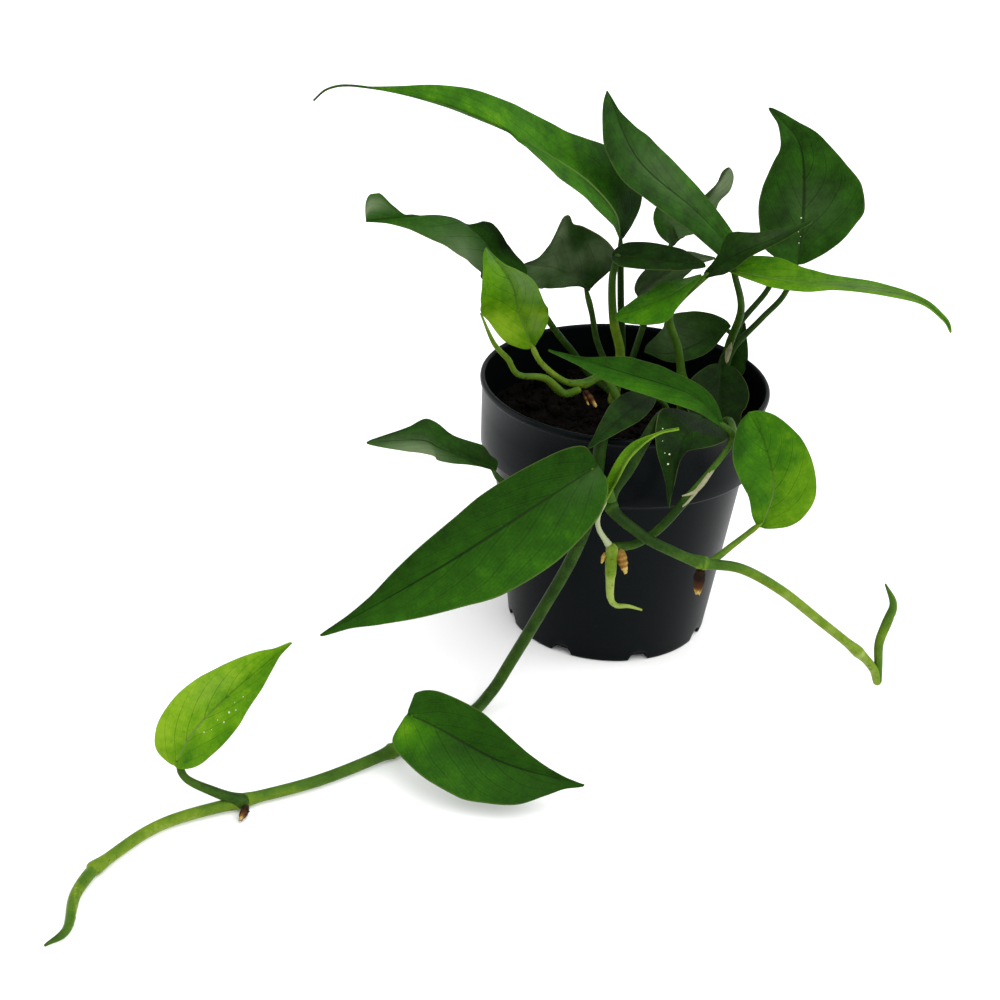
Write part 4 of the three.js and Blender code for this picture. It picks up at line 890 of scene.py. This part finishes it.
def soil_mix():
    """Damp potting mix: near black with brown flecks and fine bumps. The near black is partly the
    damp soil's own colour and partly painted shade, as the soil lies in the pot's shade.
    """
    recipe = Recipe("potting_mix_and_painted_shade")
    colour = recipe.ramp(recipe.noise(140.0, detail=6.0, roughness=0.7), SOIL_STOPS)
    grain = recipe.noise(1100.0, detail=4.0, roughness=0.7)
    return recipe.finish(colour, 0.85, grain, depth=0.0006, Specular_IOR_Level=0.04)


def root_bark():
    """Aerial root tip: corky brown bark that turns to a yellow growing tip."""
    recipe = Recipe("aerial_root_bark")
    patch = recipe.noise(900.0, detail=4.0, roughness=0.7)
    colour = recipe.ramp(recipe.vary(recipe.carried("tone"), patch, 0.5), BARK_STOPS)
    return recipe.finish(colour, 0.7, patch, depth=0.0004, Specular_IOR_Level=0.1)


def dry_sheath():
    """Papery cream sheath with brown blotches."""
    recipe = Recipe("dry_leaf_sheath")
    patch = recipe.noise(600.0, detail=4.0, roughness=0.7)
    colour = recipe.ramp(recipe.vary(recipe.carried("tone"), patch, 0.9), SHEATH_STOPS)
    return recipe.finish(colour, 0.7, patch, depth=0.0003, Specular_IOR_Level=0.1)


# Leaf blades

RIGHT_RIPPLE_SHIFT = 2.2
CUP_SHARE = 0.06
MIDRIB_DEPTH = 0.45
MIDRIB_SPREAD = 0.9
MIDRIB_FADE = 0.8
RIDGE_HEIGHT = 0.7
BLADE_HALF_THICKNESS = 0.26
EDGE_HALF_THICKNESS = 0.12
VEIN_RELIEF = 0.10
VEIN_SHARPNESS = 6
VEIN_FADE = 0.8
PATCH_STRETCH = 3
DROP_RADIUS = 0.3
DROP_VARIETY = 0.4
DROP_FLATNESS = 0.5
DROP_ROWS = 6
DROP_SIDES = 10
# The drops wear the third of a blade's finishes, after its upper and its under face
DROP_MATERIAL = 2


def smooth_curve(points, t):
    """Smooth curve through (share, value) points that never swings past them. It is a cubic
    between neighbours in the angle that gives t = (1 - cos angle) / 2, and its slope at a point
    is the harmonic mean of the slopes beside it, or 0 where those differ in sign."""
    shares, values = np.array(points, float).T
    places = np.arccos(1 - 2 * shares)
    gaps = np.diff(places)
    slopes = np.diff(values) / gaps
    product = slopes[:-1] * slopes[1:]
    total = np.where(product > 0, slopes[:-1] + slopes[1:], 1)
    inner = np.where(product > 0, 2 * product / total, 0)
    knot_slopes = np.concatenate([slopes[:1], inner, slopes[-1:]])
    place = np.clip(np.arccos(np.clip(1 - 2 * t, -1, 1)), places[0], places[-1])
    span = np.clip(np.searchsorted(places, place) - 1, 0, len(gaps) - 1)
    f = (place - places[span]) / gaps[span]
    rise = ((3 - 2 * f) * f**2 * (values[span + 1] - values[span])
            + gaps[span] * f * (1 - f) * ((1 - f) * knot_slopes[span] - f * knot_slopes[span + 1]))
    return values[span] + rise


def half_width(widths, t):
    """Width of one half at t: a smooth curve through its widths and 0 at both ends."""
    if not isinstance(widths[0], tuple):
        widths = list(zip(OUTLINE_SHARES, widths))
    return smooth_curve([(0, 0)] + widths + [(1, 0)], t)


def fold_angle(fold, t):
    """Fold of one half in radians: one angle, or a smooth curve through (share, degrees)."""
    if isinstance(fold, list):
        return np.radians(smooth_curve(fold, t))
    return np.full(t.shape, np.radians(fold))


def blade_surface(leaf, t, across, start):
    """Middle surface of a blade: from the rib's point at t each half runs sideways by the
    outline's width times its reach, rises at the fold angle, cups a little between midrib and
    edge, and waves towards its edge by height * reach^2 * sin(2 pi waves t + start) * sin(pi t).
    Base lobes reach back. Returns the points, and how far each lies from the rib."""
    at, length = spline(leaf["rib"])
    middle, along = at(t)
    up = np.array(leaf["up"], float)
    up = unit(up - (along @ up)[..., None] * along)
    sideways = np.cross(along, up)
    reach = np.abs(across)
    is_right = across > 0
    outline = np.where(is_right, half_width(leaf["right"], t), half_width(leaf["left"], t))
    width = np.maximum(outline, LEAST_HALF_WIDTH) * reach
    folds = [fold_angle(fold, t) for fold in leaf.get("fold", (FOLD_DEGREES, FOLD_DEGREES))]
    fold = np.where(is_right, folds[1], folds[0])
    lobe = np.where(is_right, leaf["lobe"][1], leaf["lobe"][0])
    height, waves = leaf["wave"]
    phase = 2 * np.pi * waves * t + start + RIGHT_RIPPLE_SHIFT * is_right
    ripple = height * np.sin(phase) * np.sin(np.pi * t)
    for side, share, crest, spread in leaf.get("crests", []):
        ripple = ripple + crest * bump_at(t, share, spread) * (np.sign(across) == side)
    rise = width * np.sin(fold) + ripple * reach**2 + CUP_SHARE * width * (1 - reach)
    back = lobe * np.sin(np.pi * np.minimum(t / LOBE_LENGTH, 1)) * length * reach
    lateral = np.sign(across) * width * np.cos(fold)
    point = middle - along * back[..., None] + sideways * lateral[..., None] + up * rise[..., None]
    return point, width


def grid_normals(points):
    """Unit normals of a grid: its step along the columns crossed with its step along the rows."""
    rows = np.gradient(points, axis=0)
    columns = np.gradient(points, axis=1)
    return unit(np.cross(columns, rows))


def both_faces(grid):
    """A grid of the upper face and, beside it, its mirror for the lower face."""
    return np.concatenate([grid, grid[:, ::-1]], axis=1)


def blade_shades(leaf, t, across):
    """Tone and paleness over a blade: even slopes along and across it, and a bell curve for each
    patch, which is wider across than along. Slopes and tone patches are partly the leaf's own
    colour and partly painted light and shade; the paleness is painted sheen."""
    level, towards_tip, on_right = leaf["tone"]
    shades = {"tone": level + towards_tip * (t - 0.5) + on_right * across, "pale": 0 * t}
    for kind, place, share, spread, amount in leaf.get("patches", []):
        patch = bump_at(across, place, PATCH_STRETCH * spread) * bump_at(t, share, spread)
        shades[kind] = shades[kind] + amount * patch
    return shades


def add_blade(body, leaf, start):
    """Adds a closed blade. Rows are spaced by half a cosine wave and columns by half a sine wave,
    so the ends and the edges get more of them. The upper face sinks at the midrib and at the
    side veins, the lower face swells there, and the two meet at a thin edge."""
    t = (1 - np.cos(np.pi * np.linspace(0, 1, BLADE_ROWS))) / 2
    v = np.sin(np.pi / 2 * np.linspace(-1, 1, BLADE_COLUMNS))
    t, across = np.meshgrid(t, v, indexing="ij")
    points, width = blade_surface(leaf, t, across, start)
    normals = grid_normals(points)
    reach = np.abs(across)
    rib = bump_at(width, 0, MIDRIB_SPREAD) * np.sqrt(1 - MIDRIB_FADE * t)
    order = VEIN_COUNT * (t - VEIN_SWEEP * reach**VEIN_BEND)
    line = np.maximum(np.cos(2 * np.pi * order), 0) ** VEIN_SHARPNESS
    vein = line * np.sin(np.pi * reach) ** VEIN_FADE
    thick = BLADE_HALF_THICKNESS + (EDGE_HALF_THICKNESS - BLADE_HALF_THICKNESS) * reach**4
    top = points + normals * (thick - MIDRIB_DEPTH * rib - VEIN_RELIEF * vein)[..., None]
    under = points - normals * (thick + RIDGE_HEIGHT * rib + VEIN_RELIEF * vein)[..., None]
    ring = np.concatenate([top, under[:, ::-1]], axis=1)
    columns = ring.shape[1]
    faces = ring_grid_faces(BLADE_ROWS, columns)
    column = np.arange(columns)
    is_under = (column >= BLADE_COLUMNS) & (column < columns - 1)
    materials = np.zeros(len(faces), int)
    materials[:(BLADE_ROWS - 1) * columns] = np.tile(is_under, BLADE_ROWS - 1)
    uv = np.stack([both_faces((across + 1) / 2), both_faces(t)], -1)
    shades = blade_shades(leaf, t, across)
    body.add(ring.reshape(-1, 3), faces, uv.reshape(-1, 2), both_faces(shades["tone"]).ravel(),
             materials, both_faces(shades["pale"]).ravel())


def add_drops(body, leaf, start):
    """Adds the low round drops on a blade's upper face. Each is a unit ball whose axes become the
    surface's two own directions times the radius, and its normal times a share of the radius."""
    ball = ball_grid(DROP_ROWS, DROP_SIDES)
    faces = ring_grid_faces(DROP_ROWS, DROP_SIDES)
    uv = np.full((len(ball), 2), 0.5)
    step = 0.01
    for number, (across, share) in enumerate(leaf.get("drops", [])):
        t = np.array([share, share + step, share])
        v = np.array([across, across, across + 2 * step])
        middle, ahead, beside = blade_surface(leaf, t, v, start)[0]
        forward = unit(ahead - middle)
        normal = unit(np.cross(beside - middle, forward))
        side = np.cross(forward, normal)
        radius = DROP_RADIUS * (1 + DROP_VARIETY * np.sin(5.0 * number))
        axes = radius * np.stack([side, forward, DROP_FLATNESS * normal])
        centre = middle + normal * BLADE_HALF_THICKNESS
        body.add(centre + ball @ axes, faces, uv, tone=1.0, material=DROP_MATERIAL)


def blade_body(leaf, start):
    """One blade as a piece of its own, with its drops."""
    body = Body()
    add_blade(body, leaf, start)
    add_drops(body, leaf, start)
    return body


# Stems, petioles, rolled leaves and root tips

JOINT_SWELL = 0.3
JOINT_SPREAD = 4.0
SCAR_OFFSET = 1.5
SCAR_SPREAD = 0.5
SCAR_HEIGHT = 0.12
SCAR_TONE = 0.2
SCAR_TONE_SPREAD = 0.8
UPPER_SIDE_DARKER = 0.12
RIDGES = 7
RIDGE_SHARE = 0.03
SEAT = 0.8
SEAT_REACH = 2.5
PETIOLE_FOOT_SWELL = 0.35
PETIOLE_FOOT_SPREAD = 3.0
PETIOLE_NECK_SWELL = 0.1
PETIOLE_THINNING = 0.4
PETIOLE_BRIGHTER = 0.1
ROLL_TURNS = 0.8
ROLL_LEAST = 0.92
ROLL_STEP = 0.2
ROLL_EDGE_TONE = 0.2
ROOT_UNEVEN = 0.12
ROOT_BAND_DARKER = 0.3
ROOT_TIP_TONE = 0.5
ROOT_UPPER_TONE = 0.2


def tube_frame(along):
    """Two unit directions square to a path at each point. The first is square to a fixed one too,
    so they don't spin: the normal of the plane that the path's directions lie nearest to, or,
    where a direction comes close to it, the way in which they change least."""
    steady = np.linalg.svd(along - along.mean(0), full_matrices=True)[2][-1]
    least = np.linalg.svd(along, full_matrices=True)[2][-1]
    reference = least if np.abs(along @ least).max() < 0.9 else steady
    side = unit(np.cross(along, reference))
    return side, np.cross(side, along)


def tube(path, size, sides, relief=None):
    """Round body along a path: middle + radius * (side * cos angle + other * sin angle). size
    gives the radius from the share and the place in mm, and relief may change it by the angle.
    Each end closes in a half round. Returns points, faces and surface coordinates, each row's
    share of the length, and how far each point faces up."""
    at, length = spline(path)
    steps = max(LEAST_STEM_STEPS, int(length / STEM_STEP))
    share = np.linspace(0, 1, steps + 1)
    middle, along = at(share)
    side, other = tube_frame(along)
    radius = size(share, share * length)
    angle = 2 * np.pi * np.arange(sides) / sides
    away = np.broadcast_to(radius[:, None], (steps + 1, sides)).copy()
    if relief is not None:
        away *= relief(share[:, None], share[:, None] * length, angle[None, :])
    out = side[:, None] * np.cos(angle)[:, None] + other[:, None] * np.sin(angle)[:, None]
    points = middle[:, None] + out * away[..., None]
    dome = np.radians(DOME_DEGREES)[:, None, None]

    def half_round(end, ahead):
        return (middle[end] + ahead * radius[end] * np.cos(dome)
                + out[end] * away[end][:, None] * np.sin(dome))

    points = np.concatenate([half_round(0, -along[0]), points, half_round(-1, along[-1])[::-1]])
    ends = np.concatenate([np.zeros(len(dome)), share, np.ones(len(dome))])
    rows = np.clip(np.arange(len(points)) - len(dome), 0, steps)
    faces = ring_grid_faces(len(points), sides, capped=False)
    return points.reshape(-1, 3), faces, ring_uv(angle, ends), ends, out[rows][..., 2]


def scars(place, joint_shares, length, spread):
    """1 at the scar just above each joint, falling off by a bell curve."""
    return sum(bump_at(place, joint * length + SCAR_OFFSET, spread) for joint in joint_shares)


def stem_relief(joint_shares, length):
    """Low ridges along the stem that wander a little round it, and a thin raised scar just above
    each joint."""
    def relief(share, place, angle):
        ridged = 1 + RIDGE_SHARE * np.cos(RIDGES * angle + 0.6 * np.sin(place / 15))
        return ridged + SCAR_HEIGHT * scars(place, joint_shares, length, SCAR_SPREAD)
    return relief


def joint_shares(path, joints):
    """Share of the path's length at which each numbered point lies."""
    shares = np.linspace(0, 1, CURVE_SAMPLES)
    places = spline(path)[0](shares)[0]
    points = np.array(path, float)
    return [shares[np.argmin(np.linalg.norm(places - points[joint], axis=1))] for joint in joints]


def value_along(values, share):
    """Value at each share of the length: an even change from foot to end for two numbers, or
    straight lines through a list of (share, value)."""
    if isinstance(values, list):
        shares, heights = zip(*values)
        return np.interp(share, shares, heights)
    foot, end = values
    return foot + (end - foot) * share


def petiole_end(blade):
    """Where a petiole or stem meets its blade: SEAT_REACH along the rib, and below the blade's
    upper face by SEAT."""
    leaf = BLADES[blade]
    at, length = spline(leaf["rib"])
    place = at(np.array([SEAT_REACH / length]))[0][0]
    return tuple(place - SEAT * unit(np.array(leaf["up"], float)))


def petiole_size(radius):
    """Radius along a petiole: it swells where it clasps the stem and a little before its blade,
    and thins over its last tenth."""
    def size(share, place):
        foot = PETIOLE_FOOT_SWELL * bump_at(place, 0, PETIOLE_FOOT_SPREAD)
        neck = PETIOLE_NECK_SWELL * bump_at(share, 0.85, 0.05)
        thinning = PETIOLE_THINNING * smooth_step(0.9, 1, share)
        return value_along(radius, share) * (1 + foot + neck - thinning)
    return size


def stem_body(stem):
    """Main stem and its petioles. The stem swells by a bell curve at each joint."""
    body = Body()
    path = list(stem["path"])
    if "blade" in stem:
        path.append(petiole_end(stem["blade"]))
    shares = joint_shares(path, stem["joints"])
    length = spline(path)[1]

    def size(share, place):
        swell = sum(bump_at(place, joint * length, JOINT_SPREAD) for joint in shares)
        return value_along(stem["radius"], share) * (1 + JOINT_SWELL * swell)

    points, faces, uv, ends, facing = tube(path, size, STEM_SIDES, stem_relief(shares, length))
    scar = scars(ends * length, shares, length, SCAR_TONE_SPREAD)
    tone = (value_along(stem["tone"], ends) + SCAR_TONE * scar)[:, None]
    body.add(points, faces, uv, (tone - UPPER_SIDE_DARKER * facing).ravel())
    for petiole in stem["petioles"]:
        path = petiole["path"] + [petiole_end(petiole["blade"])]
        points, faces, uv, ends, facing = tube(path, petiole_size(petiole["radius"]), PETIOLE_SIDES)
        tone = (petiole["tone"] + PETIOLE_BRIGHTER * ends)[:, None]
        body.add(points, faces, uv, (tone - UPPER_SIDE_DARKER * facing).ravel(),
                 pale=petiole.get("pale", 0.0))
    return body


def shoot_body(shoot):
    """Rolled leaf: a tube that tapers to a point. Its radius steps up at the edge of the roll,
    which winds ROLL_TURNS round it and is brighter."""
    def size(share, place):
        return value_along(shoot["radius"], share)

    def turned(turn, share):
        return (turn - ROLL_TURNS * share) % 1

    def relief(share, place, angle):
        return ROLL_LEAST + ROLL_STEP * turned(angle / (2 * np.pi), share)

    points, faces, uv, ends, facing = tube(shoot["path"], size, STEM_SIDES, relief)
    edge = smooth_step(0.86, 1.0, turned(uv[:, 0].reshape(facing.shape), ends[:, None]))
    tone = value_along(shoot["tone"], ends)[:, None] + ROLL_EDGE_TONE * edge
    body = Body()
    body.add(points, faces, uv, (tone - UPPER_SIDE_DARKER * facing).ravel())
    return body


def sheath_body(sheath):
    """Dry sheath: one or two narrow blades that share a foot, so the end may be forked."""
    body = Body()
    for rib in sheath["ribs"]:
        add_blade(body, dict(sheath, rib=rib), 0.0)
    return body


def root_body(nub, seed):
    """One or two stubby root tips, the second half as thick: tubes that bulge by a sine, are
    uneven, carry dark bands across and turn yellow at the point."""
    body = Body()
    for thick, path in zip((1.0, 0.5), nub["paths"]):

        def size(share, place, thick=thick):
            return thick * value_along(nub["radius"], share) * (0.8 + 0.35 * np.sin(np.pi * share))

        points, faces, uv, ends, facing = tube(path, size, STEM_SIDES)
        middle = points.mean(0)
        uneven = 1 + ROOT_UNEVEN * noise_3d(points, size=2.0, seed=seed)
        points = middle + (points - middle) * uneven[:, None]
        band = np.maximum(np.sin(2 * np.pi * nub["bands"] * ends), 0)
        tone = value_along(nub["tone"], ends) - ROOT_BAND_DARKER * band
        tone = tone + ROOT_TIP_TONE * smooth_step(0.75, 1.0, ends)
        body.add(points, faces, uv, (tone[:, None] + ROOT_UPPER_TONE * facing).ravel())
    return body


# Pot

POLE_RADIUS = 0.2
SLOT_ROW_STEP = 0.02
OVAL_SHARE = 0.0022
WOBBLE_SHARE = 0.0012


def pot_body():
    """Lathed wall: a closed profile of radius and height turned about the vertical axis. Near
    the foot each drain slot lifts the bottom edge in a half oval, and the wall is a little
    out of round, as thin moulded plastic is."""
    inner = COLLAR_RADIUS - WALL
    foot = [
        (POLE_RADIUS, 1.0), (12, 1.0), (30, 1.0), (DRAIN_SLOT_INNER_RADIUS - 1, 0.7),
        (DRAIN_SLOT_INNER_RADIUS, 0.1), (FOOT_RADIUS - 1.6, 0.0), (FOOT_RADIUS - 0.8, 0.05),
        (FOOT_RADIUS - 0.25, 0.35), (FOOT_RADIUS, 1.0), (FOOT_RADIUS + 0.15, 2.2),
        (FOOT_RADIUS + 0.3, 3.5), (FOOT_RADIUS + 0.5, 5.0), (FOOT_RADIUS + 0.9, 8.0)]
    outside = [
        (46.2, 24), (49.6, 50), (52.4, 72), (BODY_TOP_RADIUS - 0.1, COLLAR_BOTTOM - 4),
        (BODY_TOP_RADIUS + 0.1, COLLAR_BOTTOM - 2.8), (BODY_TOP_RADIUS + 0.9, COLLAR_BOTTOM - 2.1),
        (BODY_TOP_RADIUS + 2.2, COLLAR_BOTTOM - 1.5), (COLLAR_RADIUS - 1.2, COLLAR_BOTTOM - 0.8),
        (COLLAR_RADIUS - 0.3, COLLAR_BOTTOM - 0.3), (COLLAR_RADIUS, COLLAR_BOTTOM + 0.5),
        (COLLAR_RADIUS + 0.1, 88), (COLLAR_RADIUS + 0.3, 98)]
    rim = [
        (RIM_RADIUS - RIM_ROLL, POT_HEIGHT - RIM_ROLL_HEIGHT - 0.6),
        (RIM_RADIUS - 0.6, POT_HEIGHT - RIM_ROLL_HEIGHT), (RIM_RADIUS - 0.1, POT_HEIGHT - 2.4),
        (RIM_RADIUS, POT_HEIGHT - 1.6), (RIM_RADIUS - 0.1, POT_HEIGHT - 0.8),
        (RIM_RADIUS - 0.5, POT_HEIGHT - 0.2), (RIM_RADIUS - 1.1, POT_HEIGHT),
        (RIM_RADIUS - 1.7, POT_HEIGHT - 0.2), (RIM_RADIUS - 2.1, POT_HEIGHT - 0.8),
        (RIM_RADIUS - 2.2, POT_HEIGHT - 2)]
    inside = [
        (inner + 0.2, 100), (inner, 90), (inner - 0.2, 86), (50.5, 80), (45.0, 20), (42.0, 2.5),
        (20, 2.2), (POLE_RADIUS, 2.2)]
    profile = np.array(foot + outside + rim + inside)
    radius, height = profile.T
    angle = 2 * np.pi * np.arange(POT_SIDES) / POT_SIDES
    slot = 2 * np.pi / DRAIN_SLOTS
    # The first slot looks along +Y and the whole ring of slots is turned by DRAIN_SLOT_TURN
    near = (angle - np.pi / 2 - DRAIN_SLOT_TURN + slot / 2) % slot - slot / 2
    share = np.clip(np.abs(near) * FOOT_RADIUS / (DRAIN_SLOT_WIDTH / 2), 0, 1)
    lift = DRAIN_SLOT_HEIGHT * np.sqrt(1 - share**2)
    height = np.broadcast_to(height[:, None], (len(profile), POT_SIDES)).copy()
    cut = (np.arange(len(profile)) < len(foot)) & (radius >= DRAIN_SLOT_INNER_RADIUS)
    # Each lifted row lies a hair above the one before it, so that no two rows meet
    row_lift = SLOT_ROW_STEP * np.arange(cut.sum())[:, None]
    height[cut] = np.maximum(height[cut], lift + row_lift)
    out_of_round = 1 + OVAL_SHARE * np.sin(2 * angle + 0.7) + WOBBLE_SHARE * np.sin(5 * angle)
    across = radius[:, None] * out_of_round
    points = np.stack([across * np.cos(angle), across * np.sin(angle), height], -1)
    faces = ring_grid_faces(len(profile), POT_SIDES)
    body = Body()
    body.add(points.reshape(-1, 3), faces, ring_uv(angle, np.linspace(0, 1, len(profile))), 0.5)
    return body


# Soil

def soil_height(x, y):
    """Uneven top: the solids' two crossing waves, with finer lumps on them."""
    coarse = np.sin(x / 7 + 1.3) * np.cos(y / 9 - 0.4)
    fine = np.sin(x / 3.1 - y / 4.3) * 0.5
    flat = np.stack([x, y, np.zeros_like(x)], -1)
    lumps = 0.55 * noise_3d(flat, size=6.0, seed=3) + 0.35 * noise_3d(flat, size=2.6, seed=4)
    return SOIL_TOP + SOIL_BUMP * (coarse + fine) + lumps


def soil_body():
    """Closed disc whose top follows soil_height and whose foot is flat."""
    radius = np.linspace(POLE_RADIUS, SOIL_RADIUS, SOIL_RINGS)[:, None]
    angle = 2 * np.pi * np.arange(SOIL_SIDES) / SOIL_SIDES
    x = radius * np.cos(angle)
    y = radius * np.sin(angle)
    top = np.stack([x, y, soil_height(x, y)], -1)
    below = np.array([(56.0, 86.0), (52.0, SOIL_FOOT), (30.0, SOIL_FOOT), (POLE_RADIUS, SOIL_FOOT)])
    radius, height = below.T[..., None]
    wall = np.stack(np.broadcast_arrays(radius * np.cos(angle), radius * np.sin(angle), height), -1)
    points = np.concatenate([top, wall])
    faces = ring_grid_faces(len(points), SOIL_SIDES)
    body = Body()
    body.add(points.reshape(-1, 3), faces, ring_uv(angle, np.linspace(0, 1, len(points))), 0.5)
    return body


CRUMBS = 1300
CRUMB_SEED = 11
CRUMB_SIDES = 6
CRUMB_ROWS = 5
CRUMB_MARGIN = 3
CRUMB_LEAST = 0.25


def crumb_body():
    """Loose crumbs: one small ball, copied to seeded places on the soil, each stretched and
    turned its own way and sunk by about a third."""
    random = np.random.default_rng(CRUMB_SEED)
    ball = ball_grid(CRUMB_ROWS, CRUMB_SIDES)
    spread = np.sqrt(random.uniform(0, 1, CRUMBS)) * (SOIL_RADIUS - CRUMB_MARGIN)
    way = random.uniform(0, 2 * np.pi, CRUMBS)
    x = spread * np.cos(way)
    y = spread * np.sin(way)
    size = random.gamma(2.0, 0.3, CRUMBS) + CRUMB_LEAST
    place = np.stack([x, y, soil_height(x, y) + size * 0.3], -1)
    stretch = random.uniform(0.55, 1.5, (CRUMBS, 3)) * size[:, None]
    turns = np.linalg.qr(random.normal(size=(CRUMBS, 3, 3)))[0]
    turns *= np.sign(np.linalg.det(turns))[:, None, None]
    uneven = 1 + 0.25 * random.uniform(-1, 1, (CRUMBS, len(ball), 1))
    lumps = ball * uneven * stretch[:, None]
    points = np.einsum("nij,nkj->nki", turns, lumps) + place[:, None]
    faces = outward(ball, ring_grid_faces(CRUMB_ROWS, CRUMB_SIDES))
    every = (faces + len(ball) * np.arange(CRUMBS)[:, None, None]).reshape(-1, 4)
    body = Body()
    body.add(points.reshape(-1, 3), every, np.zeros((CRUMBS * len(ball), 2)), 0.5)
    return body


# Building the plant

# Each blade's ripples start this much later than the last one's
RIPPLE_START_STEP = 1.7

finishes = green_finishes()
soil = soil_mix()
bark = root_bark()
paper = dry_sheath()

add_piece("pot_shell", pot_body(), [pot_plastic()], ["pot"])
add_piece("soil_surface", soil_body(), [soil], ["soil"])
add_piece("soil_crumbs", crumb_body(), [soil], [])
for name, stem in STEMS.items():
    add_piece("look_" + name, stem_body(stem), [finishes["stem"]], [name])
for number, (name, leaf) in enumerate(BLADES.items()):
    skin = leaf["skin"]
    add_piece("look_" + name, blade_body(leaf, RIPPLE_START_STEP * number),
              [finishes[skin], finishes["back_" + skin], finishes["drop"]], [name])
for name, shoot in SHOOTS.items():
    add_piece("look_" + name, shoot_body(shoot), [finishes["shoot"]], [name])
for number, (name, nub) in enumerate(ROOT_NUBS.items()):
    add_piece("look_" + name, root_body(nub, number), [bark], [name])
for name, sheath in SHEATHS.items():
    add_piece("look_" + name, sheath_body(sheath), [paper, paper], [name])


# Floor, lights and camera

# Lights and floor are in metres
FLOOR_HALF = 6.0
FLOOR_GREY = (0.90, 0.90, 0.90, 1)
FLOOR_WHITE = (0.93, 0.93, 0.93, 1)
PLANT_MIDDLE = (0, 0, 0.1)
SOFTBOX_SIZE = 0.7
SOFTBOX_POWER = 5.0


def add_floor():
    """Plain pale floor with a trace of tone in it."""
    mesh = bpy.data.meshes.new("studio_floor")
    corners = [(-FLOOR_HALF, -FLOOR_HALF, 0), (FLOOR_HALF, -FLOOR_HALF, 0),
               (FLOOR_HALF, FLOOR_HALF, 0), (-FLOOR_HALF, FLOOR_HALF, 0)]
    mesh.from_pydata(corners, [], [(0, 1, 2, 3)])
    recipe = Recipe("pale_floor")
    tint = recipe.mix(recipe.noise(2.0), FLOOR_GREY, FLOOR_WHITE)
    mesh.materials.append(recipe.finish(tint, 0.9, Specular_IOR_Level=0.1))
    add_object("studio_floor", mesh)


def turned_matrix(right, up, back, place):
    """Matrix that turns an object's own axes to three directions and moves it to place."""
    matrix = np.eye(4)
    matrix[:3] = np.stack([right, up, back, place], 1)
    return Matrix(matrix.tolist())


def look_matrix(place, target):
    """Turn and place of a lamp that shines from place towards target."""
    back = unit(np.array(place, float) - np.array(target, float))
    # A hair along X keeps this defined for a lamp straight overhead
    right = unit(np.cross((0.0, 0.0, 1.0), back) + (1e-6, 0, 0))
    return turned_matrix(right, np.cross(back, right), back, place)


def add_softbox(name, place):
    """Square area lamp that shines at the middle of the plant."""
    lamp = bpy.data.lights.new(name, "AREA")
    lamp.shape = "SQUARE"
    lamp.size = SOFTBOX_SIZE
    lamp.energy = SOFTBOX_POWER
    add_object(name, lamp).matrix_world = look_matrix(place, PLANT_MIDDLE)


# The camera's place is in millimetres, and its angles in degrees
CAMERA_DISTANCE = 756.0
CAMERA_ELEVATION = 27.85
CAMERA_ROLL = 2.89
CAMERA_TARGET_HEIGHT = 60.0
CAMERA_RIGHT_OFFSET = 49.5
CAMERA_UP_OFFSET = 4.74
FOCAL_SHARE = 1.765
SENSOR_WIDTH = 36.0


def add_camera():
    """Camera that looks along +Y and down by its elevation, rolled, and moved off the pot's
    axis so that the pot stands right of the picture's middle."""
    tilt = np.radians(CAMERA_ELEVATION)
    roll = np.radians(CAMERA_ROLL)
    ahead = np.array([0, np.cos(tilt), -np.sin(tilt)])
    level = np.array([1.0, 0, 0])
    upright = np.cross(level, ahead)
    right = level * np.cos(roll) + upright * np.sin(roll)
    up = upright * np.cos(roll) - level * np.sin(roll)
    place = (np.array([0, 0, CAMERA_TARGET_HEIGHT]) - ahead * CAMERA_DISTANCE
             - right * CAMERA_RIGHT_OFFSET - up * CAMERA_UP_OFFSET)
    data = bpy.data.cameras.new("photo_camera")
    data.sensor_width = SENSOR_WIDTH
    data.lens = FOCAL_SHARE * SENSOR_WIDTH
    camera = add_object("photo_camera", data)
    camera.matrix_world = turned_matrix(right, up, -ahead, place * METRES)
    bpy.context.scene.camera = camera


def add_sun(name, place, power, spread):
    """Broad, soft lamp far away, in the direction of place."""
    lamp = bpy.data.lights.new(name, "SUN")
    lamp.energy = power
    lamp.angle = np.radians(spread)
    add_object(name, lamp).matrix_world = look_matrix(place, (0, 0, 0))


def add_sky():
    """Even white light from all round."""
    world = bpy.data.worlds.new("pale_studio")
    world.use_nodes = True
    background = world.node_tree.nodes["Background"]
    background.inputs["Color"].default_value = (1, 1, 1, 1)
    background.inputs["Strength"].default_value = 1.0
    bpy.context.scene.world = world


add_floor()
add_sun("key_light", place=(0.5, -0.5, 1.2), power=2.2, spread=60)
add_softbox("left_softbox", place=(-1.2, 0.1, 0.55))
add_softbox("right_softbox", place=(1.2, 0.1, 0.6))
add_sky()
add_camera()
bpy.context.scene.view_settings.view_transform = "Standard"
